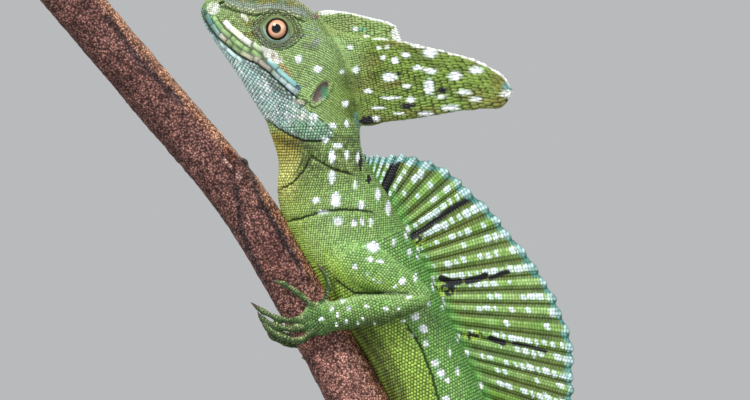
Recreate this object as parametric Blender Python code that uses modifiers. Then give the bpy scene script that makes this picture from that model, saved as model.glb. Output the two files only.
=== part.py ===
"""Green basilisk, adult male, clinging head-up to a slanted stem on a plain display stand.

Outlines are given in the side view, in millimetres: x runs to the right and drop runs down from
the upper left corner of the framed view. The model's frame has +X to the right, +Y away from the
viewer and +Z up, with its origin at the middle of the stand's underside. The animal's left flank
faces -Y.
"""

import math

import bmesh
import bpy
import numpy as np
from mathutils import Vector
from mathutils.bvhtree import BVHTree

MM = 0.001
GAP = 0.3  # clearance between pieces that touch

# Driving sizes, in millimetres
VIEW_CORNER_X = -148.5  # where the framed view's left edge lies in the model
VIEW_CORNER_Z = 532.0  # height of the framed view's upper edge above the floor
BASE_LENGTH = 220.0
BASE_WIDTH = 160.0
BASE_THICKNESS = 14.0
BASE_CORNER = 24.0
ROD_RADIUS = 3.5
COLLAR_RADIUS = 8.0
COLLAR_HEIGHT = 4.0
ROD_PLACES = (112.0, 165.0)  # x of the upper and lower rod
EYE_RADIUS = 4.3
EYE_PLACE = (91.6, 9.8)  # x and drop of the pupil
EYE_BULGE = 0.55  # how far the eyeball stands out of the face
TAIL_LENGTHS = (0.0, 0.17, 0.36, 0.57, 0.79, 1.0)  # where the tail is divided
SMOOTH_ANGLE = math.radians(35.0)
CREST_RAYS = 28
TAIL_CREST_RAYS = 12

# The stem: x, drop and radius along its middle line
PERCH = (
    (13.0, -13.0, 8.8),
    (24.1, 0.0, 8.8),
    (52.1, 33.0, 8.9),
    (79.6, 66.0, 9.1),
    (99.9, 99.0, 9.4),
    (118.2, 132.0, 9.9),
    (136.2, 165.0, 10.1),
    (153.6, 198.0, 10.3),
    (170.0, 231.0, 10.4),
)

# Sections of neck and trunk: back (x, drop), belly (x, drop), half width, squareness, fullness below
CORE = (
    (118.8, 40.9, 88.4, 41.9, 9.3, 0.90, -0.12),
    (119.5, 49.5, 91.7, 52.8, 8.6, 0.95, -0.30),
    (122.8, 56.1, 91.6, 65.5, 9.6, 0.95, -0.28),
    (128.2, 64.4, 95.6, 77.6, 11.6, 0.90, -0.10),
    (134.2, 75.9, 103.4, 90.1, 13.0, 0.85, 0.02),
    (140.3, 87.5, 110.2, 101.6, 13.2, 0.82, 0.06),
    (146.2, 99.5, 118.2, 113.6, 12.8, 0.80, 0.10),
    (152.8, 114.4, 126.4, 127.6, 12.8, 0.80, 0.12),
    (159.9, 130.9, 134.8, 142.4, 13.2, 0.80, 0.12),
    (167.6, 147.5, 142.8, 159.1, 12.8, 0.80, 0.10),
    (174.9, 163.4, 151.4, 174.9, 11.4, 0.82, 0.08),
    (181.2, 178.2, 160.1, 188.4, 9.8, 0.85, 0.05),
    (186.8, 193.1, 169.0, 200.0, 7.4, 0.90, 0.0),
)
NECK_SHARE = 2.0 / 12.0  # the neck is this much of the core, by sections

# Sections of the head, from the snout to the neck, in the same terms
HEAD = (
    (66.6, 1.9, 66.3, 4.6, 1.2, 0.95, 0.0),
    (67.6, 0.2, 67.2, 7.2, 3.2, 0.85, 0.0),
    (70.2, -1.7, 68.9, 10.4, 4.9, 0.75, 0.04),
    (74.6, -3.6, 71.9, 15.0, 6.3, 0.70, 0.08),
    (80.2, -4.6, 75.6, 20.4, 7.6, 0.66, 0.08),
    (86.5, -4.3, 79.5, 26.2, 9.0, 0.64, 0.04),
    (93.4, -2.6, 83.2, 32.4, 10.4, 0.66, 0.0),
    (100.0, 1.0, 86.3, 37.4, 11.6, 0.70, -0.02),
    (106.3, 7.3, 87.6, 39.9, 12.0, 0.74, -0.04),
    (113.4, 18.2, 88.2, 40.9, 11.0, 0.80, -0.06),
    (117.8, 31.4, 88.5, 41.6, 9.9, 0.86, -0.10),
    (118.8, 40.9, 88.4, 41.9, 9.3, 0.90, -0.12),
)
MOUTH = ((66.4, 6.6), (70.6, 10.9), (74.4, 14.4), (79.4, 17.6), (84.4, 20.6), (88.6, 23.4), (92.6, 26.8), (98.0, 32.2))
BROW = ((74.4, 0.4), (79.6, 2.6), (85.4, 3.2), (91.2, 3.4), (96.6, 4.6), (101.0, 6.6))
NOSTRIL = (73.4, 1.4)
EAR = (105.9, 30.6)
ORBIT_TILT = math.radians(-12.0)
EAR_TILT = math.radians(57.0)

# The two lobes of the head crest, root to tip: upper edge, lower edge, half thickness
REAR_LOBE = (
    (100.0, 12.0, 106.0, 34.0, 6.4),
    (107.0, 9.6, 113.0, 38.0, 5.2),
    (116.0, 11.3, 120.5, 41.4, 3.0),
    (124.0, 12.3, 127.5, 40.1, 1.9),
    (132.0, 13.6, 134.5, 39.3, 1.5),
    (141.0, 15.7, 142.0, 38.2, 1.3),
    (150.0, 17.9, 150.0, 36.7, 1.15),
    (157.0, 19.9, 157.5, 35.9, 1.05),
    (162.4, 22.7, 163.0, 35.7, 0.95),
    (166.0, 25.0, 166.2, 34.8, 0.8),
    (168.4, 28.6, 168.4, 31.6, 0.55),
)
FRONT_LOBE = (
    (101.0, 5.2, 101.6, 9.0, 1.6),
    (104.4, 3.9, 105.6, 12.0, 2.6),
    (109.0, 3.5, 110.6, 13.0, 2.2),
    (115.0, 4.2, 116.2, 13.6, 1.6),
    (121.0, 5.7, 121.6, 14.4, 1.25),
    (126.4, 6.9, 126.8, 15.2, 1.05),
    (130.2, 8.5, 130.4, 15.6, 0.9),
    (132.2, 10.9, 132.2, 14.0, 0.6),
)

# The sail along the back: share of the core's length, lean of the ray there above the horizontal
SAIL_LEAN = (
    (0.105, 84.0),
    (0.150, 78.0),
    (0.225, 64.0),
    (0.300, 44.0),
    (0.342, 32.0),
    (0.383, 20.0),
    (0.454, 4.0),
    (0.517, -3.0),
    (0.560, -10.0),
    (0.635, -17.0),
    (0.700, -21.0),
    (0.750, -24.0),
    (0.810, -28.0),
    (0.880, -33.0),
    (0.940, -37.0),
    (0.975, -40.0),
)
# The line through the tips of its rays: x and drop
SAIL_EDGE = (
    (118.6, 50.0),
    (121.9, 50.8),
    (127.2, 50.7),
    (132.6, 50.6),
    (138.4, 51.6),
    (144.2, 53.4),
    (150.5, 57.1),
    (156.6, 63.7),
    (164.2, 70.3),
    (171.9, 80.1),
    (178.7, 89.4),
    (183.9, 98.2),
    (187.8, 106.3),
    (189.9, 116.2),
    (190.1, 125.4),
    (189.2, 134.0),
    (187.6, 143.0),
    (186.2, 152.0),
    (185.2, 161.0),
    (184.9, 170.0),
    (185.5, 179.0),
    (186.6, 187.0),
    (187.8, 193.0),
)

# The tail's middle line: x, drop and y
TAIL_LINE = (
    (177.9, 196.6, 0.0),
    (193.0, 227.0, -3.0),
    (205.0, 262.0, -9.0),
    (208.0, 300.0, -15.0),
    (198.0, 338.0, -21.0),
    (180.0, 372.0, -26.0),
    (163.0, 406.0, -28.0),
    (156.0, 442.0, -27.0),
    (163.0, 476.0, -22.0),
    (184.0, 502.0, -16.0),
    (213.0, 511.0, -12.0),
    (241.0, 502.0, -10.0),
    (256.0, 479.0, -12.0),
    (253.0, 453.0, -16.0),
    (236.0, 439.0, -20.0),
    (214.0, 441.0, -24.0),
    (203.0, 458.0, -27.0),
    (208.0, 477.0, -29.0),
    (224.0, 483.0, -30.0),
)
# The tail's share of length, half depth and half width
TAIL_GIRTH = (
    (0.0, 9.4, 7.4),
    (0.06, 7.6, 5.8),
    (0.15, 6.0, 4.6),
    (0.30, 4.5, 3.4),
    (0.50, 3.2, 2.5),
    (0.70, 2.2, 1.8),
    (0.86, 1.4, 1.2),
    (1.0, 0.55, 0.55),
)
# The fin on the tail: share of the tail's length, ray length
TAIL_FIN = ((0.045, 1.5), (0.08, 7.0), (0.13, 11.5), (0.19, 13.0), (0.25, 11.5), (0.31, 7.5), (0.36, 2.0))

# Limbs of the left side: x, drop, y, half depth and half thickness along each segment
UPPER_ARM = (
    (113.6, 83.4, -6.5, 7.8, 5.8),
    (119.6, 87.6, -10.5, 7.6, 5.6),
    (126.8, 90.4, -13.6, 6.3, 5.0),
    (133.4, 93.4, -15.8, 4.8, 4.3),
    (138.7, 96.9, -17.0, 3.5, 3.7),
)
FOREARM = (
    (138.4, 99.2, -17.0, 2.9, 3.4),
    (131.5, 100.7, -17.2, 4.1, 4.3),
    (122.5, 102.0, -16.3, 5.2, 4.4),
    (114.8, 103.2, -15.0, 5.3, 3.8),
    (109.4, 104.1, -14.1, 5.1, 3.0),
)
PALM = (
    (110.4, 104.0, -14.1, 4.6, 2.5),
    (107.0, 104.6, -13.4, 6.0, 2.6),
    (103.6, 105.2, -12.9, 5.6, 2.3),
    (100.8, 105.8, -12.5, 3.8, 1.7),
)
FINGERS = (
    ((106.6, 100.6, -12.8), (108.4, 95.6, -12.4), (107.8, 90.8, -11.6), (104.8, 87.2, -9.6)),
    ((104.6, 101.6, -12.9), (99.2, 97.2, -12.0), (94.2, 93.8, -11.4), (89.8, 92.4, -10.4)),
    ((103.6, 104.2, -12.8), (98.4, 105.4, -12.4), (92.4, 105.0, -9.9), (86.8, 102.6, -5.2), (82.8, 99.8, -0.4)),
    ((103.2, 106.8, -12.7), (97.6, 108.4, -12.2), (91.6, 107.6, -9.0), (87.0, 105.4, -4.2), (85.0, 102.9, 0.2)),
    ((103.8, 109.2, -12.5), (99.2, 112.0, -12.0), (93.6, 111.2, -9.8), (88.8, 108.6, -6.6), (86.2, 105.6, -3.4)),
)
# The last finger of the far hand ends behind the stem
FAR_FINGERS = (*FINGERS[:4], ((103.8, 109.2, -12.5), (100.2, 111.6, -12.4), (96.4, 112.4, -11.4)))
FINGER_RADIUS = 1.25
THIGH = (
    (171.6, 182.6, -4.5, 9.6, 6.0),
    (167.0, 175.5, -10.5, 9.0, 6.6),
    (160.5, 165.6, -17.0, 7.6, 6.2),
    (153.4, 154.8, -22.8, 6.0, 5.4),
    (148.2, 147.2, -26.6, 4.6, 4.6),
)
SHIN = (
    (147.6, 146.9, -26.8, 4.2, 4.2),
    (148.2, 156.6, -24.6, 5.2, 4.9),
    (149.4, 168.4, -21.2, 4.8, 4.4),
    (150.4, 180.4, -17.8, 3.5, 3.3),
    (150.8, 189.8, -15.3, 3.0, 2.8),
)
SOLE = (
    (151.4, 192.6, -14.9, 3.0, 2.6),
    (148.9, 188.2, -14.4, 3.9, 2.6),
    (146.2, 183.2, -13.8, 4.4, 2.3),
    (143.9, 178.6, -13.3, 3.6, 1.7),
)
TOES = (
    ((148.4, 182.6, -13.9), (150.4, 177.6, -14.2), (151.0, 172.8, -13.8)),
    ((146.2, 180.2, -13.7), (144.4, 173.8, -13.3), (143.4, 166.6, -12.9), (143.2, 161.0, -12.6)),
    ((144.6, 179.2, -13.5), (139.6, 171.6, -12.8), (133.8, 164.6, -12.4), (128.6, 158.8, -11.8)),
    ((143.6, 181.0, -13.5), (136.2, 175.6, -12.8), (129.0, 171.2, -9.6), (123.0, 166.4, -4.2), (119.4, 160.4, 0.6)),
    ((145.0, 184.8, -13.8), (139.6, 187.0, -13.2), (133.6, 188.2, -9.4), (129.4, 186.6, -4.6)),
)
TOE_RADIUS = 1.3
HAND_SLIP = (3.0, 6.0)  # the right hand and foot grip the stem this much further down
FOOT_SLIP = (5.0, 9.4)


def place(x, drop, y=0.0):
    """Point of the side view, in metres of the model's frame."""
    return Vector(((x + VIEW_CORNER_X) * MM, y * MM, (VIEW_CORNER_Z - drop) * MM))


def smooth(rows, count, start=0.0, end=1.0):
    """Catmull-Rom samples of a table of sections, from share start to share end of its rows."""
    table = np.array(rows, float)
    last = len(table) - 1
    padded = np.vstack([2 * table[0] - table[1], table, 2 * table[-1] - table[-2]])
    found = []
    for share in np.linspace(start, end, count):
        at = min(share * last, last - 1e-9)
        i = int(at)
        t = at - i
        a, b, c, d = padded[i : i + 4]
        found.append(0.5 * (2 * b + (c - a) * t + (2 * a - 5 * b + 4 * c - d) * t**2 + (3 * b - a - 3 * c + d) * t**3))
    return np.array(found)


def ring(middle, depth, width, sides, squareness=1.0, fullness=0.0):
    """One closed section: depth points to the back and width to the side."""
    points = []
    for i in range(sides):
        angle = 2 * math.pi * i / sides
        reach = math.copysign(abs(math.sin(angle)) ** squareness, math.sin(angle)) if abs(math.sin(angle)) > 1e-9 else 0.0
        points.append(middle - depth * math.cos(angle) + width * reach * (1 + fullness * math.cos(angle)))
    return points


def new_object(name, bm):
    bmesh.ops.recalc_face_normals(bm, faces=bm.faces)
    mesh = bpy.data.meshes.new(name)
    bm.to_mesh(mesh)
    bm.free()
    obj = bpy.data.objects.new(name, mesh)
    PARTS.objects.link(obj)
    return obj


def skin_rings(name, rings):
    """A closed loft through rings of equal size."""
    bm = bmesh.new()
    loops = [[bm.verts.new(p) for p in points] for points in rings]
    for one, two in zip(loops, loops[1:]):
        for i in range(len(one)):
            j = (i + 1) % len(one)
            bm.faces.new((one[i], one[j], two[j], two[i]))
    bm.faces.new(loops[0])
    bm.faces.new(loops[-1])
    return new_object(name, bm)


def body_loft(name, sections, count, sides, start=0.0, end=1.0, grow=0.0):
    """A symmetric loft between back and belly outlines."""
    rings = []
    for back_x, back_drop, belly_x, belly_drop, half_width, squareness, fullness in smooth(sections, count, start, end):
        back, belly = place(back_x, back_drop), place(belly_x, belly_drop)
        depth = (back - belly) / 2
        depth += depth.normalized() * grow * MM
        width = Vector((0, (half_width + grow) * MM, 0))
        rings.append(ring((back + belly) / 2, depth, width, sides, squareness, fullness))
    return skin_rings(name, rings)


def lobe(name, sections, count, sides, grow=0.0):
    """A thin upright plate between its upper and lower edges."""
    plate = [(ux, ud, lx, ld, half, 0.42, 0.0) for ux, ud, lx, ld, half in sections]
    return body_loft(name, plate, count, sides, grow=grow)


def frames(points):
    """Directions along, to the back and to the side at each point of a path."""
    found = []
    for i in range(len(points)):
        along = (points[min(i + 1, len(points) - 1)] - points[max(i - 1, 0)]).normalized()
        side = Vector((0, 1, 0))
        side = (side - along * side.dot(along)).normalized()
        found.append((along, along.cross(side).normalized(), side))
    return found


def limb(name, rows, count=7, sides=12, grow=0.0, mirror=1.0, slip=(0.0, 0.0)):
    """A limb segment with rounded ends. mirror -1 makes the right side's, moved by slip."""
    samples = smooth(rows, count)
    points = [place(x + slip[0], drop + slip[1], y * mirror) for x, drop, y, _, _ in samples]
    rings = []
    caps = ((0.35, 0.86), (0.75, 0.5))  # share of the radius ahead of the end, and of the girth
    for i, ((along, back, side), point) in enumerate(zip(frames(points), points)):
        depth = back * (samples[i][3] + grow) * MM
        width = side * (samples[i][4] + grow) * MM
        body = ring(point, depth, width, sides)
        if i == 0:
            ahead = -along * min(depth.length, width.length)
            rings += [ring(point + ahead * far, depth * girth, width * girth, sides) for far, girth in reversed(caps)]
        rings.append(body)
        if i == len(points) - 1:
            ahead = along * min(depth.length, width.length)
            rings += [ring(point + ahead * far, depth * girth, width * girth, sides) for far, girth in caps]
    return skin_rings(name, rings)


def digit(name, path, radius, mirror, slip, sides=6):
    """A finger or toe with knuckles, ending in a claw that curves down."""
    rows = [(x + slip[0], drop + slip[1], y * mirror) for x, drop, y in path]
    count = 3 + 2 * (len(path) - 1)
    points = [place(*row) for row in smooth(rows, count)]
    total = len(points) - 1
    rings = []
    for i, ((_, back, side), point) in enumerate(zip(frames(points), points)):
        share = i / total
        knuckle = 1.0 + 0.13 * math.cos(2 * math.pi * share * (len(path) - 1))
        taper = 1.0 - 0.32 * share
        if share > 0.8:
            taper *= 1.0 - 0.82 * ((share - 0.8) / 0.2) ** 0.8
        girth = radius * knuckle * taper * MM
        rings.append(ring(point, back * girth, side * girth, sides))
    return skin_rings(name, rings)


def tube(name, points, radius, sides=6):
    """A round tube through points of the model's frame, finer at its ends."""
    rings = []
    last = len(points) - 1
    for i, ((_, back, side), point) in enumerate(zip(frames(points), points)):
        girth = radius * (0.45 if i in (0, last) else 1.0) * MM
        rings.append(ring(point, back * girth, side * girth, sides))
    return skin_rings(name, rings)


def ball(name, middle, sizes, tilt=0.0, segments=18, rings=10):
    """An ellipsoid with half sizes along, across and through the side view."""
    bpy.ops.mesh.primitive_uv_sphere_add(segments=segments, ring_count=rings, radius=1.0)
    obj = bpy.context.active_object
    obj.name = name
    adopt(obj)
    obj.scale = (sizes[0] * MM, sizes[2] * MM, sizes[1] * MM)
    obj.rotation_euler = (0.0, -tilt, 0.0)
    obj.location = middle
    bake_transform(obj)
    return obj


def adopt(obj):
    """Moves an object that an operator made into the parts' collection."""
    for collection in list(obj.users_collection):
        collection.objects.unlink(obj)
    PARTS.objects.link(obj)


def bake_transform(obj):
    bpy.context.view_layer.update()
    obj.data.transform(obj.matrix_world)
    obj.matrix_world.identity()


def applied(obj):
    """Applies the object's modifiers."""
    bpy.context.view_layer.update()
    graph = bpy.context.evaluated_depsgraph_get()
    mesh = bpy.data.meshes.new_from_object(obj.evaluated_get(graph))
    obj.modifiers.clear()
    obj.data = mesh


def largest_body(obj):
    """Keeps the largest closed surface of a mesh."""
    bm = bmesh.new()
    bm.from_mesh(obj.data)
    bm.verts.ensure_lookup_table()
    seen, bodies = set(), []
    for start in bm.verts:
        if start.index in seen:
            continue
        seen.add(start.index)
        body, queue = [], [start]
        while queue:
            vert = queue.pop()
            body.append(vert)
            for edge in vert.link_edges:
                other = edge.other_vert(vert)
                if other.index not in seen:
                    seen.add(other.index)
                    queue.append(other)
        bodies.append(body)
    bodies.sort(key=len)
    for body in bodies[:-1]:
        bmesh.ops.delete(bm, geom=body, context="VERTS")
    bm.to_mesh(obj.data)
    bm.free()


def combine(obj, others, operation):
    """Joins or cuts obj with all the others in one Boolean, and removes them."""
    tools = bpy.data.collections.new("cutters")
    bpy.context.scene.collection.children.link(tools)
    for other in others:
        PARTS.objects.unlink(other)
        tools.objects.link(other)
        other.hide_render = True
        other.display_type = "WIRE"
    modifier = obj.modifiers.new(operation.lower(), "BOOLEAN")
    modifier.operation = operation
    modifier.operand_type = "COLLECTION"
    modifier.collection = tools
    modifier.solver = "EXACT"
    applied(obj)
    for other in others:
        bpy.data.objects.remove(other)
    bpy.data.collections.remove(tools)
    largest_body(obj)
    return obj


def fuse(obj, others):
    return combine(obj, others, "UNION")


def cut(obj, others):
    return combine(obj, others, "DIFFERENCE")


def perch_line(count, grow=0.0, start=0.0, end=1.0):
    """Points and radii along the stem."""
    rows = smooth(PERCH, count, start, end)
    return [place(x, drop) for x, drop, _ in rows], [radius + grow for _, _, radius in rows]


def perch_tube(name, grow=0.0, sides=16, count=12):
    points, radii = perch_line(count, grow)
    rings = []
    for (_, back, side), point, radius in zip(frames(points), points, radii):
        rings.append(ring(point, back * radius * MM, side * radius * MM, sides))
    return skin_rings(name, rings)


def core_cutter():
    """Neck and trunk in one, larger by the clearance."""
    return body_loft("core_cutter", CORE, 20, 20, grow=GAP)


def head_cutter():
    return body_loft("head_cutter", HEAD, 20, 24, grow=GAP)


def perch_cutter():
    return perch_tube("perch_cutter", GAP)


class Surface:
    """The near or far side of a mesh, found along Y."""

    def __init__(self, obj):
        graph = bpy.context.evaluated_depsgraph_get()
        self.tree = BVHTree.FromObject(obj, graph)

    def at(self, x, drop, side, lift=0.0):
        """The surface's point at a place of the side view; side is -1 near the viewer, 1 beyond."""
        start = place(x, drop, side * 60.0)
        hit = self.tree.ray_cast(start, Vector((0, -side, 0)))[0]
        if hit is None:
            hit = place(x, drop, 0.0)
        return hit + Vector((0, side * lift * MM, 0))


def side_path(surface, outline, side, count, lift=0.0, shift=(0.0, 0.0)):
    """A path drawn on the surface along a side-view outline."""
    points = smooth([(x + shift[0], drop + shift[1]) for x, drop in outline], count)
    return [surface.at(x, drop, side, lift) for x, drop in points]


def make_head():
    """Head with brow, lids, lips, the line of the mouth, nostrils and the cups of the ears."""
    head = body_loft("head", HEAD, 20, 24, end=1.0 - 0.004)
    surface = Surface(head)
    raised, sunk = [], []
    for side in (-1, 1):
        eye_surface = surface.at(*EYE_PLACE, side)
        raised.append(ball("orbit", eye_surface, (7.4, 5.2, 1.5), ORBIT_TILT, 14, 6))
        raised.append(lid_ring(eye_surface, side))
        raised.append(tube("brow", side_path(surface, BROW, side, 7), 1.0, 5))
        raised.append(tube("upper_lip", side_path(surface, MOUTH, side, 9, -0.25, (0.7, -0.8)), 0.95, 5))
        raised.append(tube("lower_lip", side_path(surface, MOUTH[1:], side, 9, -0.3, (-0.7, 0.8)), 0.85, 5))
    fuse(head, raised)
    for side in (-1, 1):
        middle = eye_middle(surface, side)
        sunk.append(ball("socket", middle, [EYE_RADIUS + GAP] * 3, 0.0, 14, 8))
        opening = middle + Vector((0, side * EYE_RADIUS * MM, 0))
        sunk.append(ball("lid_opening", opening, (3.5, 3.15, 2.2), ORBIT_TILT, 12, 6))
        sunk.append(ball("nostril", surface.at(*NOSTRIL, side), (0.9, 0.7, 1.0), 0.0, 8, 6))
        sunk.append(ball("ear", surface.at(*EAR, side), (4.6, 2.4, 1.3), EAR_TILT, 14, 6))
        sunk.append(tube("mouth", side_path(surface, MOUTH, side, 9, 0.25), 0.5, 4))
    cut(head, sunk)
    eyes = []
    for side, name in ((-1, "eye_left"), (1, "eye_right")):
        eyes.append(ball(name, eye_middle(surface, side), [EYE_RADIUS] * 3, 0.0, 16, 8))
    return head, eyes


def lid_ring(middle, side):
    """The thick rim of the lids around the eye."""
    bpy.ops.mesh.primitive_torus_add(major_segments=14, minor_segments=5, major_radius=4.5 * MM, minor_radius=0.6 * MM)
    ring_object = bpy.context.active_object
    adopt(ring_object)
    ring_object.scale = (1.12, 0.86, 1.0)
    ring_object.rotation_euler = (math.pi / 2, -ORBIT_TILT, 0.0)
    ring_object.location = middle + Vector((0, side * 1.25 * MM, 0))
    bake_transform(ring_object)
    return ring_object


def eye_middle(surface, side):
    return surface.at(*EYE_PLACE, side, EYE_BULGE + 1.2 - EYE_RADIUS)


def make_head_crest():
    """The two upright lobes of the head crest, cut to the head and to each other."""
    rear = lobe("head_crest_rear", REAR_LOBE, 20, 16)
    cut(rear, [head_cutter(), core_cutter()])
    front = lobe("head_crest_front", FRONT_LOBE, 14, 14)
    cut(front, [head_cutter(), lobe("rear_cutter", REAR_LOBE, 20, 16, grow=GAP)])
    return front, rear


def fin(name, bases, tips, root, notch, thickness, pleat):
    """A pleated fin: rays as ridges, and the membrane set back between their tips."""
    rows, columns_per_ray = 4, 2
    columns = columns_per_ray * (len(bases) - 1) + 1
    near, far = [], []
    bm = bmesh.new()
    for c in range(columns):
        at = min(c / columns_per_ray, len(bases) - 1.0001)
        i = int(at)
        t = at - i
        base = bases[i].lerp(bases[i + 1], t)
        tip = tips[i].lerp(tips[i + 1], t)
        on_ray = c % columns_per_ray == 0
        reach = tip - base
        if not on_ray:
            tip = tip - reach.normalized() * min(notch * MM, 0.3 * reach.length)
        inner = base - reach.normalized() * root * MM
        near_column, far_column = [], []
        for r in range(rows + 1):
            share = r / rows
            point = inner.lerp(tip, share)
            half = thickness[0] * (1 - share) + thickness[1] * share
            half = half * (1.0 if on_ray else 0.52)
            wave = pleat * share * math.sin(math.pi * at)
            side = Vector((0, 1, 0))
            near_column.append(bm.verts.new(point + side * (wave - half) * MM))
            far_column.append(bm.verts.new(point + side * (wave + half) * MM))
        near.append(near_column)
        far.append(far_column)
    for face in (near, far):
        for c in range(columns - 1):
            for r in range(rows):
                bm.faces.new((face[c][r], face[c][r + 1], face[c + 1][r + 1]))
                bm.faces.new((face[c][r], face[c + 1][r + 1], face[c + 1][r]))
    for c in range(columns - 1):
        for r in (0, rows):
            bm.faces.new((near[c][r], near[c + 1][r], far[c + 1][r], far[c][r]))
    for c in (0, columns - 1):
        for r in range(rows):
            bm.faces.new((near[c][r], near[c][r + 1], far[c][r + 1], far[c][r]))
    return new_object(name, bm)


def edge_reach(x, drop, lean):
    """How far it is from a root on the back to the sail's edge, along a lean."""
    ahead = np.array((math.cos(lean), -math.sin(lean)))
    reaches = []
    for one, two in zip(np.array(SAIL_EDGE), np.array(SAIL_EDGE)[1:]):
        step = two - one
        turn = ahead[0] * step[1] - ahead[1] * step[0]
        away = one - (x, drop)
        reach = (away[0] * step[1] - away[1] * step[0]) / turn
        share = (away[0] * ahead[1] - away[1] * ahead[0]) / turn
        if reach > 0 and -0.02 <= share <= 1.02:
            reaches.append(reach)
    return min(reaches)


def make_sail():
    """The fin along the back, its rays fanning from upright at the neck to level at the loins."""
    bases, tips = [], []
    first, last = SAIL_LEAN[0][0], SAIL_LEAN[-1][0]
    for i in range(CREST_RAYS):
        share = first + (last - first) * i / (CREST_RAYS - 1)
        back = smooth(CORE, 1, share, share)[0]
        lean = math.radians(np.interp(share, [s[0] for s in SAIL_LEAN], [s[1] for s in SAIL_LEAN]))
        length = edge_reach(back[0], back[1], lean)
        base = place(back[0], back[1])
        bases.append(base)
        tips.append(base + Vector((math.cos(lean), 0, math.sin(lean))) * length * MM)
    sail = fin("dorsal_crest", bases, tips, 2.2, 1.7, (1.15, 0.5), 0.55)
    return cut(sail, [core_cutter()])


def tail_sections(count, start=0.0, end=1.0):
    """Points, frames and half sizes along the tail, evenly spaced by length."""
    fine = smooth(TAIL_LINE, 240)
    points = np.array([place(x, drop, y) for x, drop, y in fine])
    run = np.concatenate([[0.0], np.cumsum(np.linalg.norm(np.diff(points, axis=0), axis=1))])
    run /= run[-1]
    shares = np.linspace(start, end, count)
    at = [Vector([np.interp(s, run, points[:, k]) for k in range(3)]) for s in shares]
    step = 0.004
    directions = []
    for s in shares:
        low, high = max(s - step, 0.0), min(s + step, 1.0)
        ahead = Vector([np.interp(high, run, points[:, k]) - np.interp(low, run, points[:, k]) for k in range(3)])
        along = ahead.normalized()
        side = (Vector((0, 1, 0)) - along * along.y).normalized()
        directions.append((along, along.cross(side), side))
    girth = np.array(TAIL_GIRTH)
    depth = np.interp(shares, girth[:, 0], girth[:, 1])
    width = np.interp(shares, girth[:, 0], girth[:, 2])
    return at, directions, depth, width


def tail_piece(name, count, sides, start, end, grow=0.0):
    at, directions, depth, width = tail_sections(count, start, end)
    rings = []
    for point, (_, back, side), deep, wide in zip(at, directions, depth, width):
        rings.append(ring(point, back * (deep + grow) * MM, side * (wide + grow) * MM, sides, 0.9))
    return skin_rings(name, rings)


def make_tail():
    """The tail in five lengths, with a fin on the first part."""
    length = sum((Vector(b) - Vector(a)).length for a, b in zip(TAIL_LINE, TAIL_LINE[1:]))
    half_gap = GAP / 2 / length
    pieces = []
    for i, (start, end) in enumerate(zip(TAIL_LENGTHS, TAIL_LENGTHS[1:])):
        sides = (16, 12, 12, 10, 8)[i]
        rows = (10, 10, 12, 14, 18)[i]
        pieces.append(tail_piece(f"tail_{i + 1}", rows, sides, start + half_gap, end - half_gap))
    cut(pieces[0], [core_cutter()])
    at, directions, depth, _ = tail_sections(TAIL_CREST_RAYS, TAIL_FIN[0][0], TAIL_FIN[-1][0])
    bases, tips = [], []
    for i in range(TAIL_CREST_RAYS):
        share = TAIL_FIN[0][0] + (TAIL_FIN[-1][0] - TAIL_FIN[0][0]) * i / (TAIL_CREST_RAYS - 1)
        along, back, _ = directions[i]
        length = np.interp(share, [s[0] for s in TAIL_FIN], [s[1] for s in TAIL_FIN])
        base = at[i] + back * depth[i] * MM
        bases.append(base)
        tips.append(base + (back + along * 0.45).normalized() * length * MM)
    crest = fin("tail_crest", bases, tips, 1.6, 1.0, (0.9, 0.45), 0.3)
    cut(crest, [tail_piece("tail_cutter", 24, 16, 0.0, 0.45, GAP)])
    return pieces, crest


def make_limbs(side, mirror, arm_slip, leg_slip):
    """One side's arm and leg, each segment cut to the one it grows from."""
    still = (0.0, 0.0)
    arm_shift = (arm_slip[0] * 0.4, arm_slip[1] * 0.4)
    leg_shift = (leg_slip[0] * 0.4, leg_slip[1] * 0.4)
    upper_arm = limb(f"upper_arm_{side}", UPPER_ARM, 7, 12, 0.0, mirror, still)
    cut(upper_arm, [core_cutter(), perch_cutter()])
    forearm = limb(f"forearm_{side}", slipped(FOREARM, still, arm_slip), 8, 12, 0.0, mirror, still)
    cut(forearm, [limb("cutter", UPPER_ARM, 7, 12, GAP, mirror, still), core_cutter(), perch_cutter()])
    hand = limb(f"hand_{side}", PALM, 5, 8, 0.0, mirror, arm_slip)
    fingers = FINGERS if mirror > 0 else FAR_FINGERS
    fuse(hand, [digit(f"finger_{i}", path, FINGER_RADIUS, mirror, arm_slip) for i, path in enumerate(fingers)])
    wrist = limb("cutter", slipped(FOREARM, still, arm_slip), 8, 12, GAP, mirror, still)
    cut(hand, [wrist, core_cutter(), perch_cutter()])
    thigh = limb(f"thigh_{side}", THIGH, 7, 12, 0.0, mirror, still)
    cut(thigh, [core_cutter(), tail_piece("cutter", 8, 16, 0.0, 0.1, GAP), perch_cutter()])
    shin = limb(f"shin_{side}", slipped(SHIN, still, leg_slip), 8, 12, 0.0, mirror, still)
    cut(shin, [limb("cutter", THIGH, 7, 12, GAP, mirror, still), core_cutter(), perch_cutter()])
    foot = limb(f"foot_{side}", SOLE, 5, 8, 0.0, mirror, leg_slip)
    fuse(foot, [digit(f"toe_{i}", path, TOE_RADIUS, mirror, leg_slip) for i, path in enumerate(TOES)])
    ankle = limb("cutter", slipped(SHIN, still, leg_slip), 8, 12, GAP, mirror, still)
    cut(foot, [ankle, core_cutter(), perch_cutter()])
    return upper_arm, forearm, hand, thigh, shin, foot


def slipped(rows, start, end):
    """A segment whose near end moves by start and whose far end by end."""
    last = len(rows) - 1
    moved = []
    for i, row in enumerate(rows):
        share = i / last
        x = row[0] + start[0] + (end[0] - start[0]) * share
        drop = row[1] + start[1] + (end[1] - start[1]) * share
        moved.append((x, drop, *row[2:]))
    return moved


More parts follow.
